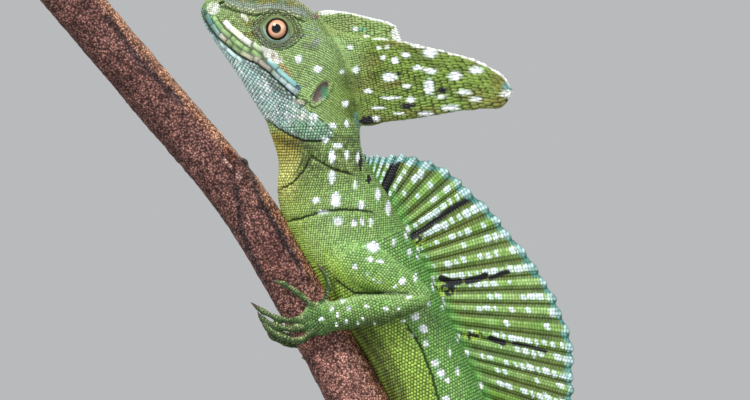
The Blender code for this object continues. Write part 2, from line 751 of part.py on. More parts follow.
def make_perch():
    """The stem, with the scars of two side shoots."""
    perch = perch_tube("perch")
    scars = [
        ball("scar", place(76.5, 53.0, -4.5), (3.6, 5.2, 3.2), math.radians(-50), 10, 6),
        ball("scar", place(146.0, 205.0, -3.0), (3.4, 5.0, 3.0), math.radians(-60), 10, 6),
    ]
    return fuse(perch, scars)


def make_stand():
    """A rounded base plate and two rods up to the stem."""
    outline = bpy.data.curves.new("stand_base", "CURVE")
    outline.dimensions = "2D"
    outline.fill_mode = "BOTH"
    outline.extrude = (BASE_THICKNESS / 2 - 1.0) * MM
    outline.bevel_depth = 1.0 * MM
    outline.bevel_resolution = 1
    steps = 6
    corners = []
    for quarter in range(4):
        turn = math.pi / 2 * quarter
        sign_x = 1 if quarter in (0, 3) else -1
        sign_y = 1 if quarter in (0, 1) else -1
        for i in range(steps + 1):
            angle = turn + math.pi / 2 * i / steps
            x = sign_x * (BASE_LENGTH / 2 - BASE_CORNER) + BASE_CORNER * math.cos(angle)
            y = sign_y * (BASE_WIDTH / 2 - BASE_CORNER) + BASE_CORNER * math.sin(angle)
            corners.append((x * MM, y * MM))
    spline = outline.splines.new("POLY")
    spline.points.add(len(corners) - 1)
    for point, (x, y) in zip(spline.points, corners):
        point.co = (x, y, 0, 1)
    spline.use_cyclic_u = True
    base = bpy.data.objects.new("stand_base", outline)
    PARTS.objects.link(base)
    base.location = (0, 0, BASE_THICKNESS / 2 * MM)
    rods = []
    for name, x in zip(("stand_rod_upper", "stand_rod_lower"), ROD_PLACES):
        drops = smooth(PERCH, 200)
        top = VIEW_CORNER_Z - np.interp(x, drops[:, 0], drops[:, 1])
        rods.append(make_rod(name, x, top))
    return base, rods


def make_rod(name, x, top):
    """A rod with a collar at its foot, turned about its own axis."""
    foot = BASE_THICKNESS + GAP
    profile = (
        (0.0, top),
        (ROD_RADIUS, top),
        (ROD_RADIUS, foot + COLLAR_HEIGHT + 1.5),
        (COLLAR_RADIUS - 1.0, foot + COLLAR_HEIGHT),
        (COLLAR_RADIUS, foot + COLLAR_HEIGHT - 1.0),
        (COLLAR_RADIUS, foot),
        (0.0, foot),
    )
    mesh = bpy.data.meshes.new(name)
    bm = bmesh.new()
    verts = [bm.verts.new((radius * MM, 0, height * MM)) for radius, height in profile]
    for one, two in zip(verts, verts[1:]):
        bm.edges.new((one, two))
    bm.to_mesh(mesh)
    bm.free()
    rod = bpy.data.objects.new(name, mesh)
    PARTS.objects.link(rod)
    rod.location = ((x + VIEW_CORNER_X) * MM, 0, 0)
    turn = rod.modifiers.new("turn", "SCREW")
    turn.steps = turn.render_steps = 20
    turn.use_merge_vertices = True
    turn.merge_threshold = 0.00001
    applied(rod)
    bake_transform(rod)
    return cut(rod, [perch_cutter()])


def finish(objects, name, colour, roughness, metallic=0.0):
    """Gives each of the objects its Principled material, and shades its round faces smooth."""
    for obj in objects:
        material = bpy.data.materials.new(f"{name}_{obj.name}")
        material.use_nodes = True
        shader = material.node_tree.nodes["Principled BSDF"]
        shader.inputs["Base Color"].default_value = (*colour, 1.0)
        shader.inputs["Roughness"].default_value = roughness
        shader.inputs["Metallic"].default_value = metallic
        obj.data.materials.clear()
        obj.data.materials.append(material)
        if obj.type == "MESH":
            obj.data.shade_smooth()
            obj.data.set_sharp_from_angle(angle=SMOOTH_ANGLE)


def clear_scene():
    for obj in list(bpy.data.objects):
        bpy.data.objects.remove(obj)


def main():
    half_gap = GAP / 2 / 150.0  # as a share of the core's length
    head, eyes = make_head()
    neck = body_loft("neck", CORE, 6, 20, start=half_gap, end=NECK_SHARE - half_gap)
    torso = body_loft("torso", CORE, 18, 20, start=NECK_SHARE + half_gap, end=1.0 - half_gap)
    cut(torso, [perch_cutter()])
    crests = make_head_crest()
    sail = make_sail()
    tail, tail_crest = make_tail()
    left = make_limbs("left", 1.0, (0.0, 0.0), (0.0, 0.0))
    right = make_limbs("right", -1.0, HAND_SLIP, FOOT_SLIP)
    perch = make_perch()
    base, rods = make_stand()
    finish([head, neck, torso, *tail, *left, *right], "scaly_skin", (0.25, 0.42, 0.10), 0.5)
    finish([*crests, sail, tail_crest], "crest_skin", (0.30, 0.46, 0.12), 0.5)
    finish(eyes, "eye", (0.80, 0.38, 0.20), 0.1)
    finish([perch], "bark", (0.28, 0.16, 0.12), 0.8)
    finish([base], "stand_wood", (0.10, 0.07, 0.05), 0.4)
    finish(rods, "stand_steel", (0.45, 0.45, 0.46), 0.35, 1.0)


clear_scene()
PARTS = bpy.data.collections.new("green_basilisk")
bpy.context.scene.collection.children.link(PARTS)
main()
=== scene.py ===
"""Looks of the green basilisk: one scaly skin, a coat of raised scales, crests, eyes, claws, stem.

All shapes are worked out in millimetres in a working frame: x runs to the right and drop runs down
from the upper left corner of the framed view, and y runs away from the viewer. Outlines repeat those
of the solids they stand for, so that every piece lies where its solid is.
"""

import itertools
import math

import bmesh
import bpy
import numpy as np
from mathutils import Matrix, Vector
from mathutils.bvhtree import BVHTree


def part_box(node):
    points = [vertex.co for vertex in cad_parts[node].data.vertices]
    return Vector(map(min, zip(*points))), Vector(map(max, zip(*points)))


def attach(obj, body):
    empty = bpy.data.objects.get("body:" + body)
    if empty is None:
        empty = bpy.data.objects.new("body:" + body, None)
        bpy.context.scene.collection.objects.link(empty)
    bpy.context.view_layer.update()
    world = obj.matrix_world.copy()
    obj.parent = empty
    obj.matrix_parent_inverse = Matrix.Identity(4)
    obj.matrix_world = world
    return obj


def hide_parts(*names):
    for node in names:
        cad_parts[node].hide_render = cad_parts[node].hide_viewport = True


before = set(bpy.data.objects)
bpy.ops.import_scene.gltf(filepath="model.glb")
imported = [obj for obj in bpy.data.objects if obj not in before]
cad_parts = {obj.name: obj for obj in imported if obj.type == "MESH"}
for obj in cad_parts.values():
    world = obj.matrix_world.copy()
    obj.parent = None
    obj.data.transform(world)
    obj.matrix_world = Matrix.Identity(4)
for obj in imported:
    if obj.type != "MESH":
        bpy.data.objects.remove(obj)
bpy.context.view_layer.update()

MM = 0.001
VIEW_CORNER_X = -148.5
VIEW_CORNER_Z = 532.0
VIEW_WIDTH = 247.5
VIEW_HEIGHT = 132.0
CAMERA_DISTANCE = 2200.0
SKIN_INSET = 0.28  # the skin lies this far inside the solids, to leave room for the scales
VOXEL = 0.58
SEED = 7

# The stem: x, drop, radius
PERCH = (
    (13.0, -13.0, 8.8),
    (24.1, 0.0, 8.8),
    (52.1, 33.0, 8.9),
    (79.6, 66.0, 9.1),
    (99.9, 99.0, 9.4),
    (118.2, 132.0, 9.9),
    (136.2, 165.0, 10.1),
    (153.6, 198.0, 10.3),
    (170.0, 231.0, 10.4),
)
# Back (x, drop), belly (x, drop), half width, squareness, fullness below
HEAD = (
    (66.6, 1.9, 66.3, 4.6, 1.2, 0.95, 0.0),
    (67.6, 0.2, 67.2, 7.2, 3.2, 0.85, 0.0),
    (70.2, -1.7, 68.9, 10.4, 4.9, 0.75, 0.04),
    (74.6, -3.6, 71.9, 15.0, 6.3, 0.70, 0.08),
    (80.2, -4.6, 75.6, 20.4, 7.6, 0.66, 0.08),
    (86.5, -4.3, 79.5, 26.2, 9.0, 0.64, 0.04),
    (93.4, -2.6, 83.2, 32.4, 10.4, 0.66, 0.0),
    (100.0, 1.0, 86.3, 37.4, 11.6, 0.70, -0.02),
    (106.3, 7.3, 87.6, 39.9, 12.0, 0.74, -0.04),
    (113.4, 18.2, 88.2, 40.9, 11.0, 0.80, -0.06),
    (117.8, 31.4, 88.5, 41.6, 9.9, 0.86, -0.10),
)
CORE = (
    (118.8, 40.9, 88.4, 41.9, 9.3, 0.90, -0.12),
    (119.5, 49.5, 91.7, 52.8, 8.6, 0.95, -0.30),
    (122.8, 56.1, 91.6, 65.5, 9.6, 0.95, -0.28),
    (128.2, 64.4, 95.6, 77.6, 11.6, 0.90, -0.10),
    (134.2, 75.9, 103.4, 90.1, 13.0, 0.85, 0.02),
    (140.3, 87.5, 110.2, 101.6, 13.2, 0.82, 0.06),
    (146.2, 99.5, 118.2, 113.6, 12.8, 0.80, 0.10),
    (152.8, 114.4, 126.4, 127.6, 12.8, 0.80, 0.12),
    (159.9, 130.9, 134.8, 142.4, 13.2, 0.80, 0.12),
    (167.6, 147.5, 142.8, 159.1, 12.8, 0.80, 0.10),
    (174.9, 163.4, 151.4, 174.9, 11.4, 0.82, 0.08),
    (181.2, 178.2, 160.1, 188.4, 9.8, 0.85, 0.05),
    (186.8, 193.1, 169.0, 200.0, 7.4, 0.90, 0.0),
)
# Lobes of the head crest: upper edge (x, drop), lower edge (x, drop), half width
REAR_LOBE = (
    (100.0, 12.0, 106.0, 34.0, 6.4),
    (107.0, 9.6, 113.0, 38.0, 5.2),
    (116.0, 11.3, 120.5, 41.4, 3.0),
    (124.0, 12.3, 127.5, 40.1, 1.9),
    (132.0, 13.6, 134.5, 39.3, 1.5),
    (141.0, 15.7, 142.0, 38.2, 1.3),
    (150.0, 17.9, 150.0, 36.7, 1.15),
    (157.0, 19.9, 157.5, 35.9, 1.05),
    (162.4, 22.7, 163.0, 35.7, 0.95),
    (166.0, 25.0, 166.2, 34.8, 0.8),
    (168.4, 28.6, 168.4, 31.6, 0.55),
)
FRONT_LOBE = (
    (101.0, 5.2, 101.6, 9.0, 1.6),
    (104.4, 3.9, 105.6, 12.0, 2.6),
    (109.0, 3.5, 110.6, 13.0, 2.2),
    (115.0, 4.2, 116.2, 13.6, 1.6),
    (121.0, 5.7, 121.6, 14.4, 1.25),
    (126.4, 6.9, 126.8, 15.2, 1.05),
    (130.2, 8.5, 130.4, 15.6, 0.9),
    (132.2, 10.9, 132.2, 14.0, 0.6),
)
# Share of the core's length, and the sail ray's lean there above the horizontal, in degrees
SAIL_LEAN = (
    (0.105, 84.0), (0.150, 78.0), (0.225, 64.0), (0.300, 44.0), (0.342, 32.0), (0.383, 20.0),
    (0.454, 4.0), (0.517, -3.0), (0.560, -10.0), (0.635, -17.0), (0.700, -21.0), (0.750, -24.0),
    (0.810, -28.0), (0.880, -33.0), (0.940, -37.0), (0.975, -40.0),
)
# The line through the tips of its rays: x and drop
SAIL_EDGE = (
    (118.6, 50.0), (121.9, 50.8), (127.2, 50.7), (132.6, 50.6), (138.4, 51.6), (144.2, 53.4),
    (150.5, 57.1), (156.6, 63.7), (164.2, 70.3), (171.9, 80.1), (178.7, 89.4), (183.9, 98.2),
    (187.8, 106.3), (189.9, 116.2), (190.1, 125.4), (189.2, 134.0), (187.6, 143.0), (186.2, 152.0),
    (185.2, 161.0), (184.9, 170.0), (185.5, 179.0), (186.6, 187.0), (187.8, 193.0),
)
SAIL_RAYS = 42
# Middle of the tail: x, drop, y
TAIL_LINE = (
    (177.9, 196.6, 0.0),
    (193.0, 227.0, -3.0),
    (205.0, 262.0, -9.0),
    (208.0, 300.0, -15.0),
    (198.0, 338.0, -21.0),
    (180.0, 372.0, -26.0),
    (163.0, 406.0, -28.0),
    (156.0, 442.0, -27.0),
    (163.0, 476.0, -22.0),
    (184.0, 502.0, -16.0),
    (213.0, 511.0, -12.0),
    (241.0, 502.0, -10.0),
    (256.0, 479.0, -12.0),
    (253.0, 453.0, -16.0),
    (236.0, 439.0, -20.0),
    (214.0, 441.0, -24.0),
    (203.0, 458.0, -27.0),
    (208.0, 477.0, -29.0),
    (224.0, 483.0, -30.0),
)
# Share of the tail's length, half depth, half width
TAIL_GIRTH = (
    (0.0, 9.4, 7.4),
    (0.06, 7.6, 5.8),
    (0.15, 6.0, 4.6),
    (0.30, 4.5, 3.4),
    (0.50, 3.2, 2.5),
    (0.70, 2.2, 1.8),
    (0.86, 1.4, 1.2),
    (1.0, 0.55, 0.55),
)
# Share of the tail's length, and height of its fin there
TAIL_FIN = ((0.045, 1.5), (0.08, 7.0), (0.13, 11.5), (0.19, 13.0), (0.25, 11.5), (0.31, 7.5), (0.36, 2.0))
TAIL_FIN_RAYS = 24
# Segments of the limbs: x, drop, y, half depth, half width
UPPER_ARM = (
    (113.6, 83.4, -6.5, 7.8, 5.8),
    (119.6, 87.6, -10.5, 7.6, 5.6),
    (126.8, 90.4, -13.6, 6.3, 5.0),
    (133.4, 93.4, -15.8, 4.8, 4.3),
    (138.7, 96.9, -17.0, 3.5, 3.7),
)
FOREARM = (
    (138.4, 99.2, -17.0, 2.9, 3.4),
    (131.5, 100.7, -17.2, 4.1, 4.3),
    (122.5, 102.0, -16.3, 5.2, 4.4),
    (114.8, 103.2, -15.0, 5.3, 3.8),
    (109.4, 104.1, -14.1, 5.1, 3.0),
)
PALM = (
    (110.4, 104.0, -14.1, 4.6, 2.5),
    (107.0, 104.6, -13.4, 6.0, 2.6),
    (103.6, 105.2, -12.9, 5.6, 2.3),
    (100.8, 105.8, -12.5, 3.8, 1.7),
)
# Middle lines of the digits: x, drop, y
FINGERS = (
    ((106.6, 100.6, -12.8), (108.4, 95.6, -12.4), (107.8, 90.8, -11.6), (104.8, 87.2, -9.6)),
    ((104.6, 101.6, -12.9), (99.2, 97.2, -12.0), (94.2, 93.8, -11.4), (89.8, 92.4, -10.4)),
    (
        (103.6, 104.2, -12.8), (98.4, 105.4, -12.4), (92.4, 105.0, -9.9), (86.8, 102.6, -5.2),
        (82.8, 99.8, -0.4),
    ),
    (
        (103.2, 106.8, -12.7), (97.6, 108.4, -12.2), (91.6, 107.6, -9.0), (87.0, 105.4, -4.2),
        (85.0, 102.9, 0.2),
    ),
    (
        (103.8, 109.2, -12.5), (99.2, 112.0, -12.0), (93.6, 111.2, -9.8), (88.8, 108.6, -6.6),
        (86.2, 105.6, -3.4),
    ),
)
# The last finger of the far hand ends behind the stem
FAR_FINGERS = (*FINGERS[:4], ((103.8, 109.2, -12.5), (100.2, 111.6, -12.4), (96.4, 112.4, -11.4)))
FINGER_RADIUS = 1.25
THIGH = (
    (171.6, 182.6, -4.5, 9.6, 6.0),
    (167.0, 175.5, -10.5, 9.0, 6.6),
    (160.5, 165.6, -17.0, 7.6, 6.2),
    (153.4, 154.8, -22.8, 6.0, 5.4),
    (148.2, 147.2, -26.6, 4.6, 4.6),
)
SHIN = (
    (147.6, 146.9, -26.8, 4.2, 4.2),
    (148.2, 156.6, -24.6, 5.2, 4.9),
    (149.4, 168.4, -21.2, 4.8, 4.4),
    (150.4, 180.4, -17.8, 3.5, 3.3),
    (150.8, 189.8, -15.3, 3.0, 2.8),
)
SOLE = (
    (151.4, 192.6, -14.9, 3.0, 2.6),
    (148.9, 188.2, -14.4, 3.9, 2.6),
    (146.2, 183.2, -13.8, 4.4, 2.3),
    (143.9, 178.6, -13.3, 3.6, 1.7),
)
TOES = (
    ((148.4, 182.6, -13.9), (150.4, 177.6, -14.2), (151.0, 172.8, -13.8)),
    ((146.2, 180.2, -13.7), (144.4, 173.8, -13.3), (143.4, 166.6, -12.9), (143.2, 161.0, -12.6)),
    ((144.6, 179.2, -13.5), (139.6, 171.6, -12.8), (133.8, 164.6, -12.4), (128.6, 158.8, -11.8)),
    (
        (143.6, 181.0, -13.5), (136.2, 175.6, -12.8), (129.0, 171.2, -9.6), (123.0, 166.4, -4.2),
        (119.4, 160.4, 0.6),
    ),
    ((145.0, 184.8, -13.8), (139.6, 187.0, -13.2), (133.6, 188.2, -9.4), (129.4, 186.6, -4.6)),
)
TOE_RADIUS = 1.3
# How far the right hand and foot lie from the mirrored places: x and drop
HAND_SLIP = (3.0, 6.0)
FOOT_SLIP = (5.0, 9.4)

# Landmarks of the head and folds of the skin, as x and drop
EYE = (91.6, 10.0)
ORBIT_TILT = math.radians(-12.0)
NOSTRIL = (73.2, 1.1)
EAR = (105.9, 30.5)
EAR_TILT = math.radians(57.0)
MOUTH = (
    (66.4, 5.2), (67.8, 6.6), (69.8, 9.8), (71.9, 12.4), (74.6, 14.8), (77.5, 17.2),
    (80.4, 19.2), (84.4, 21.0), (88.2, 23.6), (91.0, 26.2), (94.4, 29.2), (98.0, 32.4),
)
BROW = (
    (75.6, 1.6), (78.6, 2.7), (81.8, 3.6), (84.4, 4.0), (88.4, 3.5), (92.2, 3.7), (95.9, 4.4), (98.9, 5.4),
)
FOLDS = (  # path, depth, width
    (((88.6, 39.9), (92.0, 42.5), (95.7, 44.7), (100.2, 46.4), (104.6, 46.8), (108.8, 45.8)), 0.9, 0.7),
    (((102.3, 51.2), (106.3, 53.8), (110.6, 56.1), (117.2, 57.8)), 0.9, 0.7),
    (((102.6, 52.2), (100.4, 56.3), (96.8, 60.2), (92.2, 62.8)), 0.8, 0.7),
    (((93.6, 73.4), (99.0, 72.2), (105.6, 70.0), (112.2, 69.3), (118.1, 69.2), (123.8, 70.4)), 0.9, 0.7),
    (
        ((131.8, 103.6), (138.6, 113.8), (142.6, 123.8), (144.8, 132.5), (149.0, 146.0), (155.5, 162.0)),
        0.9, 0.8,
    ),
)
FRONT_SEAM = ((120.4, 11.9), (123.6, 12.7), (127.0, 13.2), (131.0, 13.7))
# The line of the mouth with its rearward course, the fold under the jowl, and the belly's long crease
JAW_LINE = MOUTH[1:] + ((101.6, 36.0), (105.8, 38.9), (109.4, 42.0), (111.0, 47.0))
JOWL_LINE = ((80.0, 34.0), *FOLDS[0][0])
BELLY_LINE = ((126.0, 96.0), *FOLDS[4][0])
# Ovals: x, drop, half length, half height, tilt
EAR_CUP = (*EAR, 4.1, 1.8, EAR_TILT)
POUCH_OVAL = (92.4, 51.0, 7.6, 13.2, -0.22)
# The crease between upper arm and forearm, darkened as painted shade and sunk into the skin
ARM_CREASES = (
    ((110.3, 91.7), (113.5, 94.4), (117.1, 96.7), (126.0, 96.6), (134.8, 96.6)),
)

# Where parts of the body flow into each other: x, drop and reach
BLENDS = (
    (113.0, 83.0, 8.0), (139.4, 98.6, 3.0), (111.0, 103.0, 4.0), (116.0, 26.0, 11.0),
    (105.0, 8.0, 5.0), (170.0, 181.0, 10.0), (148.0, 147.0, 5.0), (150.0, 187.0, 6.0),
    (178.0, 196.0, 9.0), (106.0, 103.0, 7.0),
)


def tone(red, green, blue):
    """Linear colour of a display colour from 0 to 255."""
    shares = np.array((red, green, blue), float) / 255.0
    return np.where(shares <= 0.04045, shares / 12.92, ((shares + 0.055) / 1.055) ** 2.4)


def catmull(rows, shares):
    """Catmull-Rom samples of a table at shares from 0 to 1 of its rows."""
    table = np.array(rows, float)
    last = len(table) - 1
    padded = np.vstack([2 * table[0] - table[1], table, 2 * table[-1] - table[-2]])
    at = np.clip(np.asarray(shares, float) * last, 0, last - 1e-9)
    i = at.astype(int)
    t = (at - i)[:, None]
    a, b, c, d = padded[i], padded[i + 1], padded[i + 2], padded[i + 3]
    return 0.5 * (2 * b + (c - a) * t + (2 * a - 5 * b + 4 * c - d) * t**2 + (3 * b - a - 3 * c + d) * t**3)


def unit(vectors):
    """The vectors at length 1."""
    return vectors / np.maximum(np.linalg.norm(vectors, axis=-1, keepdims=True), 1e-12)


def run_along(points):
    """The length run at each point of a line."""
    return np.concatenate([[0.0], np.cumsum(np.linalg.norm(np.diff(points, axis=0), axis=1))])


def between(at, places, rows):
    """Values between the rows of a table that stand at the given places."""
    return np.stack([np.interp(at, places, column) for column in np.asarray(rows).T], axis=1)


def working(rows):
    """(x, drop, y) to points of the working frame, which has drop pointing down."""
    table = np.asarray(rows, float)
    return np.stack([table[:, 0], table[:, 2], -table[:, 1]], axis=1)


def hashed(seed, *values):
    """Even random numbers from 0 to 1, each fixed by its whole numbers."""
    mixed = np.full(len(values[0]), seed * 374761393 + 668265263, np.int64)
    for factor, value in zip((73856093, 19349663, 83492791), values):
        mixed ^= value.astype(np.int64) * factor
    mixed = (mixed ^ (mixed >> 13)) * 1274126177 & 0x7FFFFFFF
    mixed = (mixed ^ (mixed >> 15)) * 1181783497 & 0x7FFFFFFF
    return (mixed >> 8 & 0xFFFF) / 65535.0


def value_noise(points, size, seed):
    """Smooth noise from 0 to 1 with features of the given size."""
    q = points / size + 512.0
    cell = np.floor(q).astype(np.int64)
    f = q - cell
    f = f * f * (3 - 2 * f)
    total = np.zeros(len(points))
    for corner in itertools.product((0, 1), repeat=3):
        c = cell + np.array(corner)
        total += np.prod(np.where(corner, f, 1 - f), axis=1) * hashed(seed, c[:, 0], c[:, 1], c[:, 2])
    return total


def along_path(points, path):
    """Distance to a side-view path, signed distance above it, and share along it, of each point."""
    places = np.stack([points[:, 0], -points[:, 2]], axis=1)
    corners = np.array(path, float)
    lengths = np.linalg.norm(np.diff(corners, axis=0), axis=1)
    starts = run_along(corners)
    best = np.full(len(points), 1e9)
    signed = np.zeros(len(points))
    share = np.zeros(len(points))
    for i, (one, two) in enumerate(zip(corners, corners[1:])):
        step = two - one
        t = np.clip((places - one) @ step / (step @ step), 0, 1)
        away = places - (one + t[:, None] * step)
        distance = np.linalg.norm(away, axis=1)
        nearer = distance < best
        best[nearer] = distance[nearer]
        side = (step[1] * away[:, 0] - step[0] * away[:, 1]) / np.linalg.norm(step)
        signed[nearer] = side[nearer]
        share[nearer] = ((starts[i] + t * lengths[i]) / starts[-1])[nearer]
    return best, signed, share


def ellipse(points, x, drop, half_x, half_drop, tilt=0.0):
    """Elliptical radius in the side view: 1 on the ellipse."""
    dx, dz = points[:, 0] - x, -points[:, 2] - drop
    along = dx * math.cos(tilt) - dz * math.sin(tilt)
    across = dx * math.sin(tilt) + dz * math.cos(tilt)
    return np.hypot(along / half_x, across / half_drop)


def step_down(value, start, end):
    """1 below start, 0 above end, smooth between."""
    t = np.clip((value - start) / (end - start), 0, 1)
    return 1 - t * t * (3 - 2 * t)


class Tube:
    """A form swept along a middle line, with its belly at angle 0 and its back at half a turn."""

    def __init__(self, middle, depth, width, square=1.0, full=0.0):
        self.middle, self.depth, self.width = middle, depth, width
        self.square = np.broadcast_to(np.asarray(square, float), (len(middle),))
        self.full = np.broadcast_to(np.asarray(full, float), (len(middle),))
        self.run = run_along(middle)
        self.length = self.run[-1]

    def parts(self, run):
        """Middle, depth, width, squareness and fullness at run mm along."""
        vectors = [between(run, self.run, values) for values in (self.middle, self.depth, self.width)]
        return vectors + [np.interp(run, self.run, values) for values in (self.square, self.full)]

    def at(self, run, angle, grow=0.0):
        """Points of the surface, at run mm along and an angle around."""
        middle, depth, width, square, full = self.parts(run)
        depth = depth + unit(depth) * grow
        width = width + unit(width) * grow
        sine, cosine = np.sin(angle), np.cos(angle)
        reach = np.sign(sine) * np.abs(sine) ** square * (1 + full * cosine)
        return middle - depth * cosine[:, None] + width * reach[:, None]

    def mesh(self, rows, sides, grow=0.0):
        """Points and faces of the closed surface, with rows evenly spaced, or at the runs given."""
        places = np.linspace(0, self.length, rows) if np.isscalar(rows) else rows
        rows = len(places)
        runs = np.repeat(places, sides)
        angles = np.tile(np.arange(sides) * 2 * math.pi / sides, rows)
        points = self.at(runs, angles, grow)
        i = np.arange(rows - 1)[:, None] * sides
        j = np.arange(sides)[None, :]
        k = (j + 1) % sides
        quads = np.stack([i + j, i + k, i + sides + k, i + sides + j], axis=-1).reshape(-1, 4)
        first, last = points[:sides].mean(0), points[-sides:].mean(0)
        points = np.vstack([points, first, last])
        a, b = len(points) - 2, len(points) - 1
        end = (rows - 1) * sides
        j = np.arange(sides)
        k = (j + 1) % sides
        near_cap = np.stack([np.full(sides, a), k, j], axis=1)
        far_cap = np.stack([np.full(sides, b), end + j, end + k], axis=1)
        return points, [quads, near_cap, far_cap]


def body_tube(rows, count=260):
    """A tube from rows of back, belly, half width, squareness and fullness."""
    table = catmull(rows, np.linspace(0, 1, count))
    back = working(np.stack([table[:, 0], table[:, 1], np.zeros(count)], axis=1))
    belly = working(np.stack([table[:, 2], table[:, 3], np.zeros(count)], axis=1))
    width = np.zeros((count, 3))
    width[:, 1] = table[:, 4]
    return Tube((back + belly) / 2, (back - belly) / 2, width, table[:, 5], table[:, 6])


def lobe_tube(rows):
    """A lobe of the crest, from rows without squareness and fullness."""
    return body_tube([(*row, 0.42, 0.0) for row in rows], 160)


QUARTER = np.linspace(0, 1, 7)[1:] * math.pi / 2
CAPS = {  # share of the radius ahead of the end, and share of the girth
    "round": (np.sin(QUARTER), np.cos(QUARTER)),
    "flat": (np.linspace(0.012, 0.024, 16), np.linspace(0.97, 0.0, 16)),
    "open": (np.zeros(0), np.zeros(0)),
}


def sweep(points, deep, wide, square=1.0, ends="round"):
    """A tube along points, with half sizes deep and wide and the named kind of ends."""
    along = unit(np.gradient(points, axis=0))
    side = unit(np.array((0.0, 1.0, 0.0)) - along * along[:, 1:2])
    back = np.cross(along, side)
    ahead, girths = CAPS[ends]
    girths = np.maximum(girths, 0.03)
    parts = [[points, back, side, deep, wide]]
    for end, sign in ((0, -1), (-1, 1)):
        reach = min(deep[end], wide[end])
        tip = points[end] + sign * along[end] * (ahead * reach)[:, None]
        turned = [np.repeat(v[end][None], len(ahead), 0) for v in (back, side)]
        cap = [tip, *turned, deep[end] * girths, wide[end] * girths]
        parts = [[c[::-1] for c in cap], *parts] if end == 0 else [*parts, cap]
    points, back, side, deep, wide = (np.concatenate(rows) for rows in zip(*parts))
    return Tube(points, back * deep[:, None], side * wide[:, None], square)


def limb_tube(rows, mirror, start=(0.0, 0.0), end=(0.0, 0.0)):
    """A limb's segment. Its near end moves by start and its far end by end."""
    table = catmull(rows, np.linspace(0, 1, 50))
    share = np.linspace(0, 1, 50)
    table[:, 0] += start[0] + (end[0] - start[0]) * share
    table[:, 1] += start[1] + (end[1] - start[1]) * share
    table[:, 2] *= mirror
    return sweep(working(table[:, :3]), table[:, 3], table[:, 4])


def digit_line(path, mirror, slip, count=60):
    """Points along a digit of one side, moved by slip."""
    moved = [(x + slip[0], drop + slip[1], y * mirror) for x, drop, y in path]
    return working(catmull(moved, np.linspace(0, 1, count)))


def digit_tube(path, radius, mirror, slip, end=0.86):
    """A digit up to its claw, a little thicker at its knuckles."""
    points = digit_line(path, mirror, slip)
    share = np.linspace(0, 1, len(points))
    girth = radius * (1 + 0.13 * np.cos(2 * math.pi * share * (len(path) - 1))) * (1 - 0.32 * share)
    kept = share <= end
    return sweep(points[kept], girth[kept], girth[kept])


def tail_tube():
    """The tail along its line, with the girths of its table."""
    fine = working(catmull(TAIL_LINE, np.linspace(0, 1, 500)))
    run = run_along(fine)
    share, deep, wide = np.array(TAIL_GIRTH).T
    at = run / run[-1]
    return sweep(fine, np.interp(at, share, deep), np.interp(at, share, wide), 0.9, "open")


BODY = body_tube(HEAD + CORE)
TAIL = tail_tube()
LOBES = {"rear": lobe_tube(REAR_LOBE), "front": lobe_tube(FRONT_LOBE)}
STILL = (0.0, 0.0)


def side_tubes(mirror, arm_slip, leg_slip, fingers):
    """The limb segments and digits of one side."""
    segments = {
        "upper_arm": limb_tube(UPPER_ARM, mirror),
        "forearm": limb_tube(FOREARM, mirror, STILL, arm_slip),
        "palm": limb_tube(PALM, mirror, arm_slip, arm_slip),
        "thigh": limb_tube(THIGH, mirror),
        "shin": limb_tube(SHIN, mirror, STILL, leg_slip),
        "sole": limb_tube(SOLE, mirror, leg_slip, leg_slip),
    }
    digits = [digit_tube(path, FINGER_RADIUS, mirror, arm_slip) for path in fingers]
    digits += [digit_tube(path, TOE_RADIUS, mirror, leg_slip) for path in TOES]
    return segments, digits


SIDES = {
    "left": (1.0, STILL, STILL, FINGERS),
    "right": (-1.0, HAND_SLIP, FOOT_SLIP, FAR_FINGERS),
}
LIMBS = {side: side_tubes(*places) for side, places in SIDES.items()}


def to_world(points):
    """Points of the working frame in metres of the shared frame."""
    return (points + np.array((VIEW_CORNER_X, 0.0, VIEW_CORNER_Z))) * MM


def joined(parts):
    """Points and faces of several meshes as one, with its quads first and its triangles after."""
    starts = np.cumsum([0] + [len(points) for points, _ in parts])
    faces = [group + start for (_, groups), start in zip(parts, starts) for group in groups]
    by_corners = [np.vstack([group for group in faces if group.shape[1] == k]) for k in (4, 3)]
    return np.vstack([points for points, _ in parts]), by_corners


def add_to_scene(obj):
    """The object, once it is in the scene."""
    bpy.context.scene.collection.objects.link(obj)
    return obj


def build_mesh(name, points, faces, in_working_frame=True):
    """A mesh object from points and arrays of faces."""
    mesh = bpy.data.meshes.new(name)
    places = to_world(points) if in_working_frame else points
    mesh.vertices.add(len(places))
    mesh.vertices.foreach_set("co", places.astype(np.float32).ravel())
    sizes = np.concatenate([np.full(len(f), f.shape[1]) for f in faces])
    loops = np.concatenate([f.ravel() for f in faces]).astype(np.int32)
    mesh.loops.add(len(loops))
    mesh.loops.foreach_set("vertex_index", loops)
    mesh.polygons.add(len(sizes))
    starts = np.concatenate([[0], np.cumsum(sizes)[:-1]]).astype(np.int32)
    mesh.polygons.foreach_set("loop_start", starts)
    mesh.update(calc_edges=True)
    mesh.polygons.foreach_set("use_smooth", np.ones(len(sizes), bool))
    return add_to_scene(bpy.data.objects.new(name, mesh))


def read_values(rows, name, kind=np.float32, width=3):
    """A named value of every row of a mesh, as a table."""
    values = np.empty(len(rows) * width, kind)
    rows.foreach_get(name, values)
    return values.reshape(-1, width)


def move_points(mesh, points):
    """Gives the mesh new places for its points."""
    mesh.vertices.foreach_set("co", points.astype(np.float32).ravel())
    mesh.update()


def set_colours(mesh, colours):
    """The markings of a mesh, one colour for each point."""
    layer = mesh.color_attributes.new("tint", "FLOAT_COLOR", "POINT")
    full = np.ones((len(colours), 4), np.float32)
    full[:, :3] = colours
    layer.data.foreach_set("color", full.ravel())


# Markings

